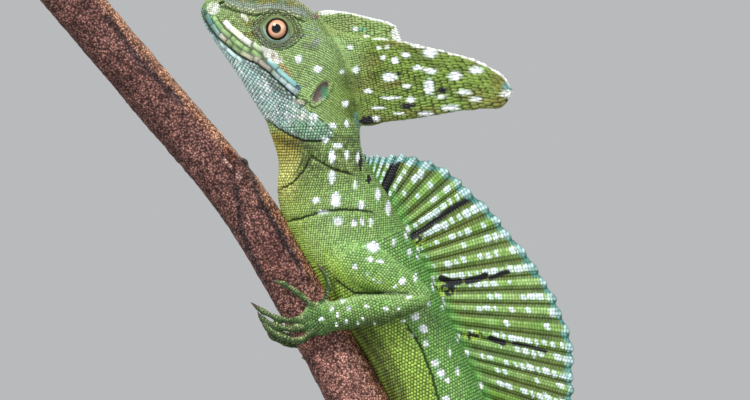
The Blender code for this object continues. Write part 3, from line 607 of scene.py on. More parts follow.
GREEN = tone(118, 167, 80)
GREEN_PALE = tone(164, 192, 130)
GREEN_DEEP = tone(60, 100, 42)
LIP_GREEN = tone(112, 152, 96)
LIP_BLUE = tone(120, 170, 184)
DIGIT = tone(50, 76, 30)
DIGIT_PALE = tone(176, 190, 132)
BAND = tone(99, 154, 74)
YELLOW_GREEN = tone(158, 186, 64)
BELLY = tone(158, 190, 78)
BELLY_SHADE = tone(70, 76, 28)
CROWN = tone(102, 118, 82)
CHEEK = tone(138, 166, 102)
OLIVE = tone(122, 118, 48)
DARK_OLIVE = tone(60, 66, 24)
GREY_BLUE = tone(142, 154, 148)
JAW = tone(178, 210, 210)
FOREARM_SHADE = tone(60, 84, 32)
LID = tone(118, 138, 96)
LID_PALE = tone(150, 182, 174)
LID_SHADE = tone(50, 66, 52)
JAW_GREEN = tone(120, 166, 128)
TURQUOISE = tone(92, 152, 158)
POUCH = tone(156, 142, 50)
POUCH_LOW = tone(196, 200, 116)
WHITE = tone(240, 246, 250)
HALO = tone(196, 222, 214)
CREAM = tone(232, 236, 228)
PINK = tone(206, 188, 178)
BROW_PALE = tone(192, 202, 158)
ROOT_BROWN = tone(122, 88, 82)
ORANGE = tone(190, 148, 106)
CREST = tone(102, 128, 30)
CREST_TEAL = tone(96, 184, 150)
CREST_BROWN = tone(116, 92, 36)
BLACK = tone(14, 16, 20)
BARK = tone(116, 76, 68)
BARK_DARK = tone(70, 44, 42)
BARK_PALE = tone(148, 106, 96)
BARK_LIT = tone(158, 112, 84)
KNOT_RED = tone(100, 56, 42)
KNOT_PALE = tone(150, 116, 108)
KNOT_BLACK = tone(40, 32, 36)
WOOD_CUT = tone(190, 158, 120)
WOOD_RING = tone(158, 122, 88)
EAR_PURPLE = tone(112, 86, 92)
EAR_GREEN = tone(78, 142, 104)
LIP_TONES = (  # share along the upper lip, colour of the plates that border the mouth
    (0.00, TURQUOISE),
    (0.14, tone(100, 156, 168)),
    (0.20, tone(166, 192, 200)),
    (0.26, tone(190, 176, 166)),
    (0.34, tone(126, 152, 112)),
    (0.44, tone(150, 164, 132)),
    (0.52, tone(196, 188, 178)),
    (0.64, tone(176, 162, 160)),
    (0.72, tone(140, 152, 150)),
    (0.80, tone(184, 206, 224)),
    (0.97, tone(190, 214, 226)),
    (1.00, JAW_GREEN),
)

# Ovals of the side view: x, drop, half sizes and tilt, and the fade of their edge
SHOULDER_OVAL = ((108.5, 78.0, 11.0, 11.0), (0.2, 1.2))
POUCH_FRONT = ((95.4, 60.5, 4.6, 8.0, -0.2), (0.3, 1.1))
# painted shade under the fold of the jowl
UNDER_FOLD = ((98.8, 47.6, 9.4, 2.2, -0.22), (0.3, 1.1))
CHEEK_REAR = ((117.0, 32.0, 12.0, 14.0), (0.2, 1.3))
BEFORE_EYE = ((79.5, 8.6, 7.8, 4.6, -0.5), (0.6, 1.1))
SNOUT_TIP = ((70.7, 2.9, 2.4, 2.2, 0.3), (0.75, 1.1))
SNOUT_STREAK = ((80.8, 5.6, 0.8, 2.0, 0.5), (0.8, 1.2))
FRONT_LOBE_TIP = ((131.0, 11.6, 1.9, 2.9, 0.3), (0.8, 1.0))
FRONT_LOBE_SPOT = ((119.9, 9.8, 1.0, 0.65), (0.8, 1.1))
REAR_LOBE_END = ((168.0, 29.4, 2.4, 3.4), (0.85, 1.0))
REAR_LOBE_CORNER = ((167.6, 31.0, 2.6, 1.5), (0.85, 1.0))
PALM_OVAL = ((104.0, 105.5, 5.4, 4.4), (0.4, 1.2))
JOWL_BULGE = ((100.6, 36.5, 13.0, 7.6, -0.5), (0.2, 1.1))
NAPE_BULGE = ((108.0, 18.0, 8.0, 9.0), (0.2, 1.1))
TEMPLE_HOLLOW = ((116.5, 27.0, 6.0, 4.4, -0.2), (0.0, 1.2))

# Patches: tone, oval, fade from and to, share, share added by the speckle, least speckle
ALL = -1.0
HEAD_PATCHES = (
    (GREY_BLUE, (102.6, 12.4, 4.4, 4.2), (0.5, 1.2), 0.8, 0.0, 0.5),
    (DARK_OLIVE, (102.5, 15.6, 3.6, 1.3, -0.3), (0.6, 1.3), 0.4, 0.0, ALL),
    # the three dark olive patches: painted shade in the hollow where the crest meets the head, under the
    # crest's root, and below it
    (DARK_OLIVE, (117.0, 27.5, 7.0, 4.6, -0.25), (0.2, 1.1), 0.42, 0.45, ALL),
    (DARK_OLIVE, (121.8, 34.8, 7.0, 3.4), (0.3, 1.1), 0.3, 0.5, ALL),
    (DARK_OLIVE, (116.5, 36.5, 4.2, 6.0), (0.3, 1.1), 0.5, 0.0, 0.4),
    (TURQUOISE, (117.6, 39.8, 0.7, 3.1, 0.2), (0.8, 1.1), 0.8, 0.0, ALL),
)
JAW_PATCHES = (
    # pale scales of the jowl, whitened further as painted glints
    (CREAM, (99.2, 37.6, 3.2, 2.2, -0.6), (0.3, 1.2), 0.7, 0.0, 0.42),
    (PINK, (98.6, 33.9, 2.6, 1.1, -0.4), (0.5, 1.2), 0.7, 0.0, 0.4),
    (DARK_OLIVE, (91.5, 29.5, 5.6, 1.6, -0.85), (0.5, 1.2), 0.3, 0.0, ALL),
    (EAR_PURPLE, (*EAR, 4.2, 1.9, EAR_TILT), (0.85, 1.1), 0.9, 0.0, ALL),
    (EAR_GREEN, (107.2, 30.5, 1.4, 2.3, 0.2), (0.7, 1.1), 0.85, 0.0, ALL),
    (GREY_BLUE, (106.1, 32.9, 1.0, 1.0), (0.6, 1.1), 0.6, 0.0, ALL),
    (ROOT_BROWN, (104.2, 5.6, 1.9, 1.1, 0.2), (0.6, 1.1), 0.75, 0.0, ALL),
)
SNOUT_PATCHES = (
    (PINK, (89.8, 18.6, 4.6, 2.0, -0.62), (0.7, 1.1), 0.75, 0.0, ALL),
    (CREAM, (89.8, 18.6, 4.6, 2.0, -0.62), (0.7, 1.1), 0.85, 0.0, 0.45),
    (ORANGE, (94.4, 23.4, 3.4, 1.1, -0.85), (0.7, 1.1), 0.4, 0.4, ALL),
)
# Creases of the lids, darkened as painted shade: distance from the eye, half width, strength of the shade
LID_LINES = (
    (3.66, 0.16, 0.7), (4.3, 0.13, 0.85), (4.75, 0.12, 0.6),
    (5.15, 0.12, 0.75), (5.95, 0.16, 0.7), (6.7, 0.25, 0.6),
)
SPOT_SIZE = 0.9  # the share of a spot's table size that is painted
SCATTERED = 46  # further spots below the framed view
# White scales: x, drop, half length across, half height, in mm of the side view
SPOTS = (
    (98.7, 19.8, 1.2, 1.5), (104.9, 23.1, 1.5, 1.2), (112.9, 23.8, 0.8, 0.8), (117.5, 23.1, 1.2, 1.2),
    (113.9, 34.3, 1.1, 1.1), (103.3, 38.6, 1.5, 0.9), (109.9, 41.6, 1.2, 1.2), (114.5, 40.9, 0.8, 1.3),
    (134.0, 18.2, 1.4, 1.0), (126.4, 19.1, 0.8, 0.8), (130.4, 20.1, 1.3, 1.0), (127.7, 15.5, 0.7, 0.7),
    (125.1, 15.8, 0.7, 0.7), (137.9, 22.4, 1.7, 0.9), (142.2, 23.4, 2.0, 1.0), (141.9, 17.5, 2.2, 1.5),
    (128.4, 25.4, 2.2, 1.6), (150.2, 25.1, 2.0, 1.4), (157.1, 23.1, 2.3, 1.1), (141.6, 28.7, 1.7, 2.4),
    (145.5, 32.0, 1.7, 0.6), (153.1, 30.4, 2.3, 0.9), (156.8, 32.7, 2.0, 0.8), (121.4, 30.0, 1.3, 0.8),
    (128.7, 32.3, 3.2, 0.5), (135.3, 33.0, 1.4, 1.1), (148.5, 35.6, 2.9, 1.0), (140.6, 37.6, 2.6, 0.8),
    (134.4, 28.5, 1.4, 0.7), (125.0, 35.6, 2.4, 0.5), (131.5, 37.4, 2.2, 0.4), (115.6, 15.7, 1.1, 0.7),
    (107.3, 46.2, 1.2, 1.2), (111.5, 48.2, 1.6, 0.9), (109.6, 51.8, 1.1, 2.2), (114.5, 51.2, 0.8, 1.6),
    (118.1, 52.1, 0.6, 1.9), (109.6, 58.7, 1.2, 2.2), (117.2, 61.1, 0.8, 1.6), (110.9, 66.0, 1.7, 2.6),
    (106.6, 70.0, 2.0, 0.8), (119.1, 67.7, 1.1, 1.5), (124.7, 64.4, 0.9, 2.2), (128.0, 68.6, 0.9, 2.5),
    (111.5, 72.9, 1.8, 1.4), (116.8, 73.3, 0.8, 1.3), (119.5, 73.3, 0.6, 1.2), (122.4, 73.3, 0.8, 1.3),
    (134.3, 76.6, 1.0, 2.5), (123.1, 81.5, 2.2, 1.8), (130.0, 79.9, 0.6, 1.5), (135.0, 83.2, 0.8, 1.2),
    (137.9, 83.5, 0.7, 2.0), (122.1, 85.5, 1.2, 0.9), (125.4, 86.1, 1.3, 0.7), (117.2, 87.8, 0.8, 0.8),
    (132.7, 92.7, 1.2, 1.2), (137.0, 91.4, 0.7, 1.4), (142.9, 93.4, 0.7, 2.4), (121.1, 100.7, 0.9, 0.9),
    (109.6, 101.6, 0.5, 0.9), (127.4, 101.6, 0.8, 0.8), (134.9, 97.7, 0.7, 0.7), (106.3, 104.9, 0.9, 0.7),
    (113.2, 99.0, 0.6, 0.7), (137.0, 104.3, 1.4, 1.4), (139.6, 108.2, 1.4, 1.4), (146.2, 100.0, 0.7, 2.2),
    (151.1, 111.2, 0.7, 1.9), (148.5, 116.2, 0.5, 1.5), (154.1, 116.8, 0.9, 1.6), (143.6, 119.5, 1.3, 1.3),
    (117.2, 9.7, 1.2, 0.7), (123.9, 39.1, 1.5, 0.9), (145.5, 123.1, 1.2, 1.5), (150.8, 122.4, 0.7, 1.5),
    (158.4, 127.1, 1.0, 1.6),
    (146.9, 131.3, 1.3, 1.3), (121.5, 90.2, 0.6, 0.5), (123.2, 92.0, 0.6, 0.5), (125.2, 92.9, 0.7, 0.5),
    (130.3, 94.6, 0.7, 0.7), (115.0, 101.6, 0.6, 0.8), (111.6, 103.5, 0.5, 0.9), (114.1, 106.0, 0.5, 0.9),
    (111.2, 106.8, 0.4, 0.7), (118.4, 106.2, 0.4, 0.5), (119.9, 104.9, 0.5, 0.5), (123.8, 106.4, 0.5, 0.4),
    (131.4, 101.6, 0.6, 0.5), (132.9, 105.6, 0.6, 0.6), (141.1, 100.1, 0.8, 1.0), (127.1, 107.2, 0.4, 0.4),
    (147.6, 125.4, 0.9, 0.7), (140.4, 113.2, 0.8, 1.2), (136.0, 110.4, 0.6, 0.6), (104.4, 66.2, 1.4, 0.9),
)
# Black marks: x, drop, half length, half height; the one at (121.0, 39.8) is painted shade where the rear
# lobe of the crest meets the neck
DARK_SPOTS = (
    (131.7, 24.4, 0.9, 0.9), (145.9, 30.0, 1.8, 1.2), (134.6, 35.0, 2.6, 1.0), (121.0, 39.8, 2.4, 1.6),
    (119.0, 53.4, 0.6, 3.0), (121.6, 59.4, 0.8, 1.6),
)


def mix(base, colour, share):
    """The base with a share of the colour; either may be one tone for all points."""
    share = np.asarray(share, float)
    if share.ndim == 1:
        share = share[:, None]
    return base * (1 - share) + colour * share


def nearest_tube(points, tube, count=60):
    """Distance from the tube's middle over its girth, height from belly -1 to back 1, and run."""
    rows = np.linspace(0, tube.length, count)
    middle, depth, width, _, _ = tube.parts(rows)
    best = np.full(len(points), 1e9)
    height = np.zeros(len(points))
    run = np.zeros(len(points))
    deep, wide = np.linalg.norm(depth, axis=1), np.linalg.norm(width, axis=1)
    reach = 1.7 * max(deep.max(), wide.max())
    inside = np.all((points > middle.min(0) - reach) & (points < middle.max(0) + reach), axis=1)
    near_points = points[inside]
    own = [values[inside] for values in (best, height, run)]
    along = unit(np.gradient(middle, axis=0))
    for i in range(count):
        away = near_points - middle[i]
        up = away @ depth[i] / max(deep[i], 1e-6) ** 2
        out = away @ width[i] / max(wide[i], 1e-6) ** 2
        ahead = away @ along[i]
        near = np.sqrt(up**2 + out**2 + (0.7 * ahead * count / tube.length) ** 2)
        closer = near < own[0]
        for values, found in zip(own, (near, up, rows[i] + ahead)):
            values[closer] = found[closer]
    best[inside], height[inside], run[inside] = own
    return best, height, run


def spot_radius(points, facing, spots, seed):
    """Elliptical radius to the nearest of the spots, which are ragged and differ on the far side."""
    ragged = 1 + 0.55 * (value_noise(points, 0.8, seed) - 0.5)
    best = np.full(len(points), 9.0)
    draw = np.random.default_rng(seed)
    for side in (-1, 1):
        here = np.flatnonzero((points[:, 1] * side > 0) & (facing > 0.3))
        for x, drop, half_x, half_drop in spots:
            slip = draw.uniform(-1.3, 1.3, 2) if side > 0 else STILL
            halves = (half_x * SPOT_SIZE, half_drop * SPOT_SIZE)
            radius = ellipse(points[here], x + slip[0], drop + slip[1], *halves)
            best[here] = np.minimum(best[here], radius / ragged[here])
    return best


def scattered_spots(seed):
    """Further white scales for the part of the body below the framed view."""
    draw = np.random.default_rng(seed)
    spots = []
    for _ in range(SCATTERED):
        drop = draw.uniform(134, 250)
        x = draw.uniform(-9, 14) + np.interp(drop, (134, 200, 250), (152, 178, 200))
        size = draw.uniform(0.7, 1.3)
        spots.append((x, drop, size, size * draw.uniform(1.0, 1.6)))
    return spots


def within(points, oval, fade):
    """1 inside an oval of the side view and 0 outside it, smooth along its edge."""
    return step_down(ellipse(points, *oval), *fade)


def patched(colour, points, speckle, patches):
    """Colours with oval patches, which a speckle can strengthen or break up."""
    for shade, oval, fade, share, more, least in patches:
        on = within(points, oval, fade) * (speckle > least)
        colour = mix(colour, shade, on * (share + more * speckle))
    return colour


def blend_tones(share, stops):
    """Colours along a row of stops."""
    places, tones = zip(*stops)
    return between(share, places, np.array(tones))


def lid_radius(points):
    """Radius around the eye in the side view: round at the iris, pointed at both corners outside it."""
    dx, dz = points[:, 0] - EYE[0], -points[:, 2] - EYE[1]
    across = dx * math.cos(ORBIT_TILT) - dz * math.sin(ORBIT_TILT)
    high = dx * math.sin(ORBIT_TILT) + dz * math.cos(ORBIT_TILT)
    circle = np.hypot(across, high)
    corner = 2.4 * np.clip((circle - 3.7) / 4.4, 0, 1)
    warp = 0.3 * (value_noise(points, 2.6, 45) - 0.5) * step_down(-circle, -4.6, -3.9)
    return np.hypot(across, np.abs(high) + corner) - corner + warp


def jaw_side(points):
    """1 below the line of the mouth and its rearward course, down to the fold under the jowl."""
    above = along_path(points, JAW_LINE)[1]
    over_fold = along_path(points, JOWL_LINE)[1]
    on_head = step_down(points[:, 0], 113.0, 119.0)
    return step_down(above, -0.6, 0.0) * step_down(-over_fold, -0.6, 0.2) * on_head


def belly_side(points):
    """How far a point of the trunk lies on the belly's side of the long crease, in mm."""
    drop = -points[:, 2]
    signed = along_path(points, BELLY_LINE)[1]
    return np.where((drop > 99) & (drop < 160), -signed, -9.0)


def paint(points, facing):
    """Colours of skin and scales at points; facing is 1 where the surface faces sideways."""
    colour = body_paint(points)
    colour = head_paint(points, colour)
    colour = lip_paint(points, colour, facing)
    colour = eye_paint(points, colour)
    colour = crest_paint(points, colour)
    colour = limb_paint(points, colour)
    colour = tail_paint(points, colour)
    # painted shade along the folds of the skin
    for path, depth, width in FOLDS:
        away = along_path(points, path)[0]
        colour = colour * (1 - 0.45 * step_down(away, 0.0, width * 1.5) * (facing > 0.2))[:, None]
    for spots, seed in ((SPOTS, 5), (scattered_spots(SEED), 6)):
        radius = spot_radius(points, facing, spots, seed)
        colour = mix(colour, HALO, step_down(radius, 1.05, 1.5) * 0.45)
        colour = mix(colour, WHITE, step_down(radius, 0.95, 1.02) * 0.97)
    # black marks, one of them painted shade where the rear lobe of the crest meets the neck
    dark = spot_radius(points, facing, DARK_SPOTS, 7)
    return np.clip(mix(colour, BLACK, step_down(dark, 0.95, 1.05)), 0, 1)


def body_paint(points):
    """Neck and trunk: green above, yellower below, with the yellow pouch of the throat, and painted shade
    under the jowl's fold and where the belly lies against the stem.
    """
    x, drop = points[:, 0], -points[:, 2]
    height = nearest_tube(points, BODY, 150)[1]
    broad = value_noise(points, 13.0, 1)
    fine = value_noise(points, 3.6, 2)
    colour = mix(GREEN, GREEN_PALE, 0.55 * fine * broad)
    colour = mix(colour, BAND, step_down(-height, -0.9, -0.45) * 0.9)
    colour = mix(colour, YELLOW_GREEN, step_down(height, -0.8, -0.1) * 0.75)
    neck = step_down(drop, 66, 84)
    colour = mix(colour, GREEN_PALE, 0.35 * neck)
    colour = mix(colour, OLIVE, 0.55 * neck * broad)
    throat = step_down(drop, 54, 66) * step_down(-drop, -46, -42)
    colour = mix(colour, DARK_OLIVE, throat * (0.12 + 0.45 * (value_noise(points, 1.0, 19) > 0.55)))
    shoulder = within(points, *SHOULDER_OVAL)
    colour = mix(colour, GREEN_PALE, shoulder * 0.45)
    pouch = within(points, POUCH_OVAL, (0.62, 1.12))
    yellow = mix(POUCH, POUCH_LOW, step_down(-drop, -60.0, -43.0))
    colour = mix(colour, yellow, 0.95 * pouch)
    front = within(points, *POUCH_FRONT)
    colour = mix(colour, POUCH_LOW, front * 0.6)
    inward = belly_side(points)
    belly = step_down(-inward, -1.2, 0.2)
    colour = mix(colour, BELLY, belly * 0.85)
    stripes = 0.6 + 0.4 * np.sin(inward * 1.9 + fine)
    # painted shade under the fold of the jowl
    under_fold = within(points, *UNDER_FOLD)
    colour = mix(colour, DARK_OLIVE, under_fold * 0.7)
    # painted shade in stripes where the belly lies against the stem
    shaded = step_down(-inward, -12.0, -7.0) * belly
    return mix(colour, BELLY_SHADE, shaded * (0.55 + 0.35 * stripes))


def head_paint(points, colour):
    """Cheek, crown, snout, throat and the ear."""
    x, drop = points[:, 0], -points[:, 2]
    fine = value_noise(points, 3.2, 3)
    speckle = value_noise(points, 1.1, 4)
    head = step_down(drop, 40.0, 46.0) * step_down(x, 119.0, 123.0)
    cheek = mix(CHEEK, GREEN_PALE, 0.4 * fine)
    toward_crest = within(points, *CHEEK_REAR)
    cheek = mix(cheek, CREST, toward_crest * (0.5 + 0.4 * speckle))
    colour = mix(colour, cheek, head)
    crown = step_down(drop - (x - 66) * 0.24 + 3.2, -1.0, 3.0) * head
    crown_tone = mix(CROWN, OLIVE, 0.9 * step_down(-fine, -0.62, -0.42))
    colour = mix(colour, crown_tone, crown * 0.9)
    loreal = within(points, *BEFORE_EYE) * head
    colour = mix(colour, OLIVE, loreal * (0.35 + 0.5 * (fine > 0.5)))
    colour = mix(colour, GREEN_PALE, loreal * (speckle > 0.62) * 0.7)
    # the patches include painted shade around the root of the crest
    colour = patched(colour, points, speckle, HEAD_PATCHES)
    jaw = jaw_side(points)
    rearward = step_down(-(x + 0.55 * (drop - 33.0)), -106.0, -93.0)
    jaw_tone = mix(JAW, JAW_GREEN, rearward * 0.85)
    jaw_tone = mix(jaw_tone, GREY_BLUE, 0.5 * fine)
    # random jaw scales painted white: pale scales with painted highlights on them
    jaw_tone = mix(jaw_tone, WHITE, 0.55 * (speckle > 0.68) * (fine > 0.4))
    colour = mix(colour, jaw_tone, jaw * 0.95)
    return patched(colour, points, speckle, JAW_PATCHES)


def lip_paint(points, colour, facing):
    """The plates along the mouth, the pale stripe over them and the patches at its corner."""
    speckle = value_noise(points, 1.1, 4)
    mouth, above, share = along_path(points, MOUTH)
    on = (mouth < 7.5) & (facing > 0.25) & (-points[:, 2] < 38) & (share < 0.985)
    row = blend_tones(share, LIP_TONES)
    row = mix(row, GREEN_PALE, 0.35 * speckle)
    row = mix(row, GREEN_DEEP, 0.4 * (value_noise(points, 0.8, 17) > 0.66))
    colour = mix(colour, row, on * step_down(np.abs(above - 1.05), 1.0, 1.15) * 0.95)
    block_tone = mix(LIP_GREEN, GREEN_PALE, 0.6 * value_noise(points, 2.6, 15))
    block_tone = mix(block_tone, GREEN_DEEP, 0.35 * (value_noise(points, 0.9, 18) > 0.62))
    blocks = on * step_down(np.abs(above - 2.95), 0.85, 0.95) * (share < 0.62)
    colour = mix(colour, block_tone, blocks * 0.85)
    stripe = on * step_down(np.abs(above - 5.2), 0.85, 1.1) * (share > 0.15) * (share < 0.60)
    pale_row = mix(CREAM, GREEN_PALE, 0.75 * (value_noise(points, 1.9, 48) > 0.56))
    colour = mix(colour, pale_row, stripe * 0.95)
    lower = on * step_down(np.abs(above + 1.0), 0.75, 0.95) * step_down(share, 0.42, 0.56)
    colour = mix(colour, mix(JAW, TURQUOISE, 0.7 * (share < 0.24)), lower * 0.85)
    shade = on * step_down(np.abs(above + 1.2), 0.7, 1.6) * step_down(-share, -0.62, -0.45)
    colour = mix(colour, DARK_OLIVE, shade * (0.25 + 0.35 * speckle))
    colour = patched(colour, points, speckle, SNOUT_PATCHES)
    colour = mix(colour, LIP_BLUE, on * step_down(np.abs(above - 2.9), 0.6, 0.9) * (share > 0.64) * 0.85)
    snout = within(points, *SNOUT_TIP)
    colour = mix(colour, CREAM, snout * (0.4 + 0.5 * (speckle > 0.45)))
    streak = within(points, *SNOUT_STREAK)
    colour = mix(colour, CREAM, streak * 0.75)
    # painted shade in the slit of the mouth
    line = step_down(mouth, 0.1, 0.42) * (facing > 0.2) * (-points[:, 2] < 34)
    return colour * (1 - 0.7 * line)[:, None]


def eye_paint(points, colour):
    """Brow, lids and the creases around the eye, with painted shade under the brow ridge, under the upper
    lid, in the creases and in the socket.
    """
    drop = -points[:, 2]
    brow, above_brow, _ = along_path(points, BROW)
    over_brow = step_down(np.abs(above_brow - 1.4), 0.9, 1.7) * step_down(brow, 1.8, 2.8)
    colour = mix(colour, GREY_BLUE, over_brow * 0.7)
    # painted shade in the groove under the brow ridge
    colour = mix(colour, DARK_OLIVE, step_down(np.abs(above_brow + 0.95), 0.3, 0.8) * (brow < 1.6) * 0.5)
    colour = mix(colour, BROW_PALE, step_down(brow, 0.36, 0.62) * 0.9)
    ring = lid_radius(points)
    fine = value_noise(points, 0.7, 46)
    broad = value_noise(points, 2.2, 47)
    below = step_down(-(drop - EYE[1] - 0.25 * (points[:, 0] - EYE[0])), -1.6, 0.4)
    lid = mix(LID, GREEN_PALE, 0.6 * fine * broad)
    lid = mix(lid, OLIVE, 0.5 * (1 - below) * broad)
    lid = mix(lid, GREY_BLUE, 0.45 * below * (1 - broad))
    colour = mix(colour, lid, step_down(ring, 5.8, 6.8) * 0.9)
    rim = step_down(np.abs(ring - 3.95), 0.2, 0.4)
    colour = mix(colour, LID_PALE, rim * below * (0.5 + 0.5 * fine))
    # painted shadow of the upper lid along the top of the eye
    colour = mix(colour, LID_SHADE, step_down(np.abs(ring - 3.75), 0.12, 0.3) * (1 - below) * 0.75)
    # painted shade in the creases of the lids
    for radius, width, share in LID_LINES:
        line = np.exp(-(((ring - radius) / width) ** 2))
        colour = mix(colour, LID_SHADE, line * share * (0.45 + 0.4 * below + 0.4 * (broad - 0.5)))
    colour = mix(colour, PINK, np.exp(-(((ring - 5.55) / 0.25) ** 2)) * below * 0.45)
    # painted shade in the socket around the eyeball
    return mix(colour, BLACK, step_down(ring, 3.45, 3.62) * 0.9)


def crest_paint(points, colour):
    """Head crest: olive green with brown patches, pale along its upper edges and tip."""
    x, drop = points[:, 0], -points[:, 2]
    patches = value_noise(points * np.array((0.5, 1, 1)), 3.4, 8)
    plates = value_noise(points * np.array((0.42, 1, 1)), 1.2, 9)
    base = mix(CREST, CREST_BROWN, 0.45 * step_down(-patches, -0.74, -0.5))
    base = mix(base, GREEN_PALE, 0.18 * plates)
    base = mix(base, DARK_OLIVE, 0.45 * step_down(plates, 0.25, 0.45))
    base = mix(base, CREST_BROWN, step_down(-x, -168.0, -159.0) * 0.65)
    thin = np.abs(points[:, 1]) < 7
    on_rear = step_down(-x, -124.0, -114.0) * thin * (drop < 42) * (x < 172)
    over = np.interp(x, [r[0] for r in FRONT_LOBE], [r[1] for r in FRONT_LOBE])
    on_front = step_down(-x, -107.5, -104.0) * (drop < np.minimum(over + 8.8, 13.2)) * (x < 133) * thin
    colour = mix(colour, base, np.maximum(on_rear, on_front))
    colour = mix(colour, GREEN_PALE, on_front * 0.35)
    top = np.interp(x, [r[0] for r in REAR_LOBE], [r[1] for r in REAR_LOBE])
    width = -0.5 + 1.75 * value_noise(points * np.array((0.7, 1, 1)), 2.4, 10)
    rim = step_down(drop - top, width, width + 0.3) * (x > 131) * on_rear
    rim = np.maximum(rim, step_down(drop - over, width, width + 0.3) * (x > 105) * on_front)
    seam = along_path(points, FRONT_SEAM)[0]
    rim = np.maximum(rim, step_down(seam, 0.3, 0.55) * (value_noise(points, 1.9, 16) > 0.42) * on_front)
    tip = within(points, *FRONT_LOBE_TIP) * on_front
    end = within(points, *REAR_LOBE_END) * on_rear
    colour = mix(colour, TURQUOISE, end * 0.7)
    end = within(points, *REAR_LOBE_CORNER) * on_rear
    teal = within(points, *FRONT_LOBE_SPOT) * on_front
    colour = mix(colour, CREST_TEAL, teal * 0.8)
    return mix(colour, CREAM, np.clip(rim + tip + end, 0, 1) * 0.92)


def limb_paint(points, colour):
    """Limbs: paler above as painted highlight and darker below as painted shade, and digits with pale
    bands.
    """
    fine = value_noise(points, 2.6, 12)
    for segments, digits in LIMBS.values():
        for name, tube in segments.items():
            near, height, _ = nearest_tube(points, tube, 24)
            height = height * np.sign(tube.depth[:, 2].mean())
            on = step_down(near, 1.15, 1.5)
            shade = mix(GREEN, GREEN_PALE, 0.6 * fine)
            if name in ("upper_arm", "thigh"):
                shade = mix(shade, YELLOW_GREEN, step_down(height, -0.9, 0.2) * 0.7)
                # painted shade along the underside of the upper arm and thigh
                shade = mix(shade, DARK_OLIVE, step_down(height, -1.05, -0.75) * 0.5)
            else:
                # painted highlight along the top and painted shade along the underside
                shade = mix(shade, GREEN_PALE, step_down(-height, -1.0, -0.45) * 0.75)
                shade = mix(shade, FOREARM_SHADE, step_down(height, -0.85, 0.35) * 0.85)
            if name in ("palm", "sole"):
                shade = mix(shade, GREEN_DEEP, 0.4)
            colour = mix(colour, shade, on * (0.6 if name == "upper_arm" else 0.92))
        for tube in digits:
            near, height, run = nearest_tube(points, tube, 16)
            height = height * np.sign(tube.depth[:, 2].mean())
            bands = 0.5 + 0.5 * np.sin(run * 6.4)
            # the pale bands fade out towards the underside: painted highlight above, painted shade below
            lit = np.clip(0.2 + 0.7 * height, 0, 1)
            shade = mix(DIGIT, DIGIT_PALE, lit * bands)
            colour = mix(colour, shade, step_down(near, 1.2, 1.6))
    palm = within(points, *PALM_OVAL)
    colour = mix(colour, GREEN_DEEP, palm * 0.5)
    # painted shade in the crease between upper arm and forearm
    for path in ARM_CREASES:
        away = along_path(points, path)[0]
        colour = colour * (1 - 0.6 * step_down(away, 0.0, 1.0) * (np.abs(points[:, 1]) > 6))[:, None]
    return colour


def tail_paint(points, colour):
    """Dark bands around the tail, browner towards its end."""
    near, height, run = nearest_tube(points, TAIL, 160)
    on = step_down(near, 1.15, 1.5) * step_down(points[:, 2], -208.0, -194.0)
    bands = 0.5 + 0.5 * np.sin(run / 6.6 + 1.2 * value_noise(points, 5.0, 14))
    shade = mix(GREEN, GREEN_DEEP, 0.75 * bands)
    shade = mix(shade, CREST_BROWN, step_down(-run, -430.0, -150.0) * (0.35 + 0.5 * bands))
    shade = mix(shade, YELLOW_GREEN, step_down(height, -0.9, 0.0) * 0.5)
    return mix(colour, shade, on)


# Skin


def smoothed(points, edges, weights, rounds):
    """Moves points towards the mean of their neighbours."""
    count = len(points)
    one, two = edges[:, 0], edges[:, 1]
    linked = np.bincount(one, minlength=count) + np.bincount(two, minlength=count)
    linked = np.maximum(linked, 1)
    for _ in range(rounds):
        mean = np.empty_like(points)
        for k in range(3):
            total = np.bincount(one, points[two, k], count) + np.bincount(two, points[one, k], count)
            mean[:, k] = total / linked
        points = points + (mean - points) * weights[:, None]
    return points


LID_RIDGES = (  # radius around the eye, height, width
    (3.8, 0.4, 0.24), (4.3, -0.34, 0.16), (4.52, 0.16, 0.16), (4.75, -0.24, 0.14), (5.15, -0.34, 0.16),
    (5.55, 0.22, 0.24), (5.95, -0.34, 0.2), (6.3, 0.25, 0.28), (6.7, -0.26, 0.26),
)


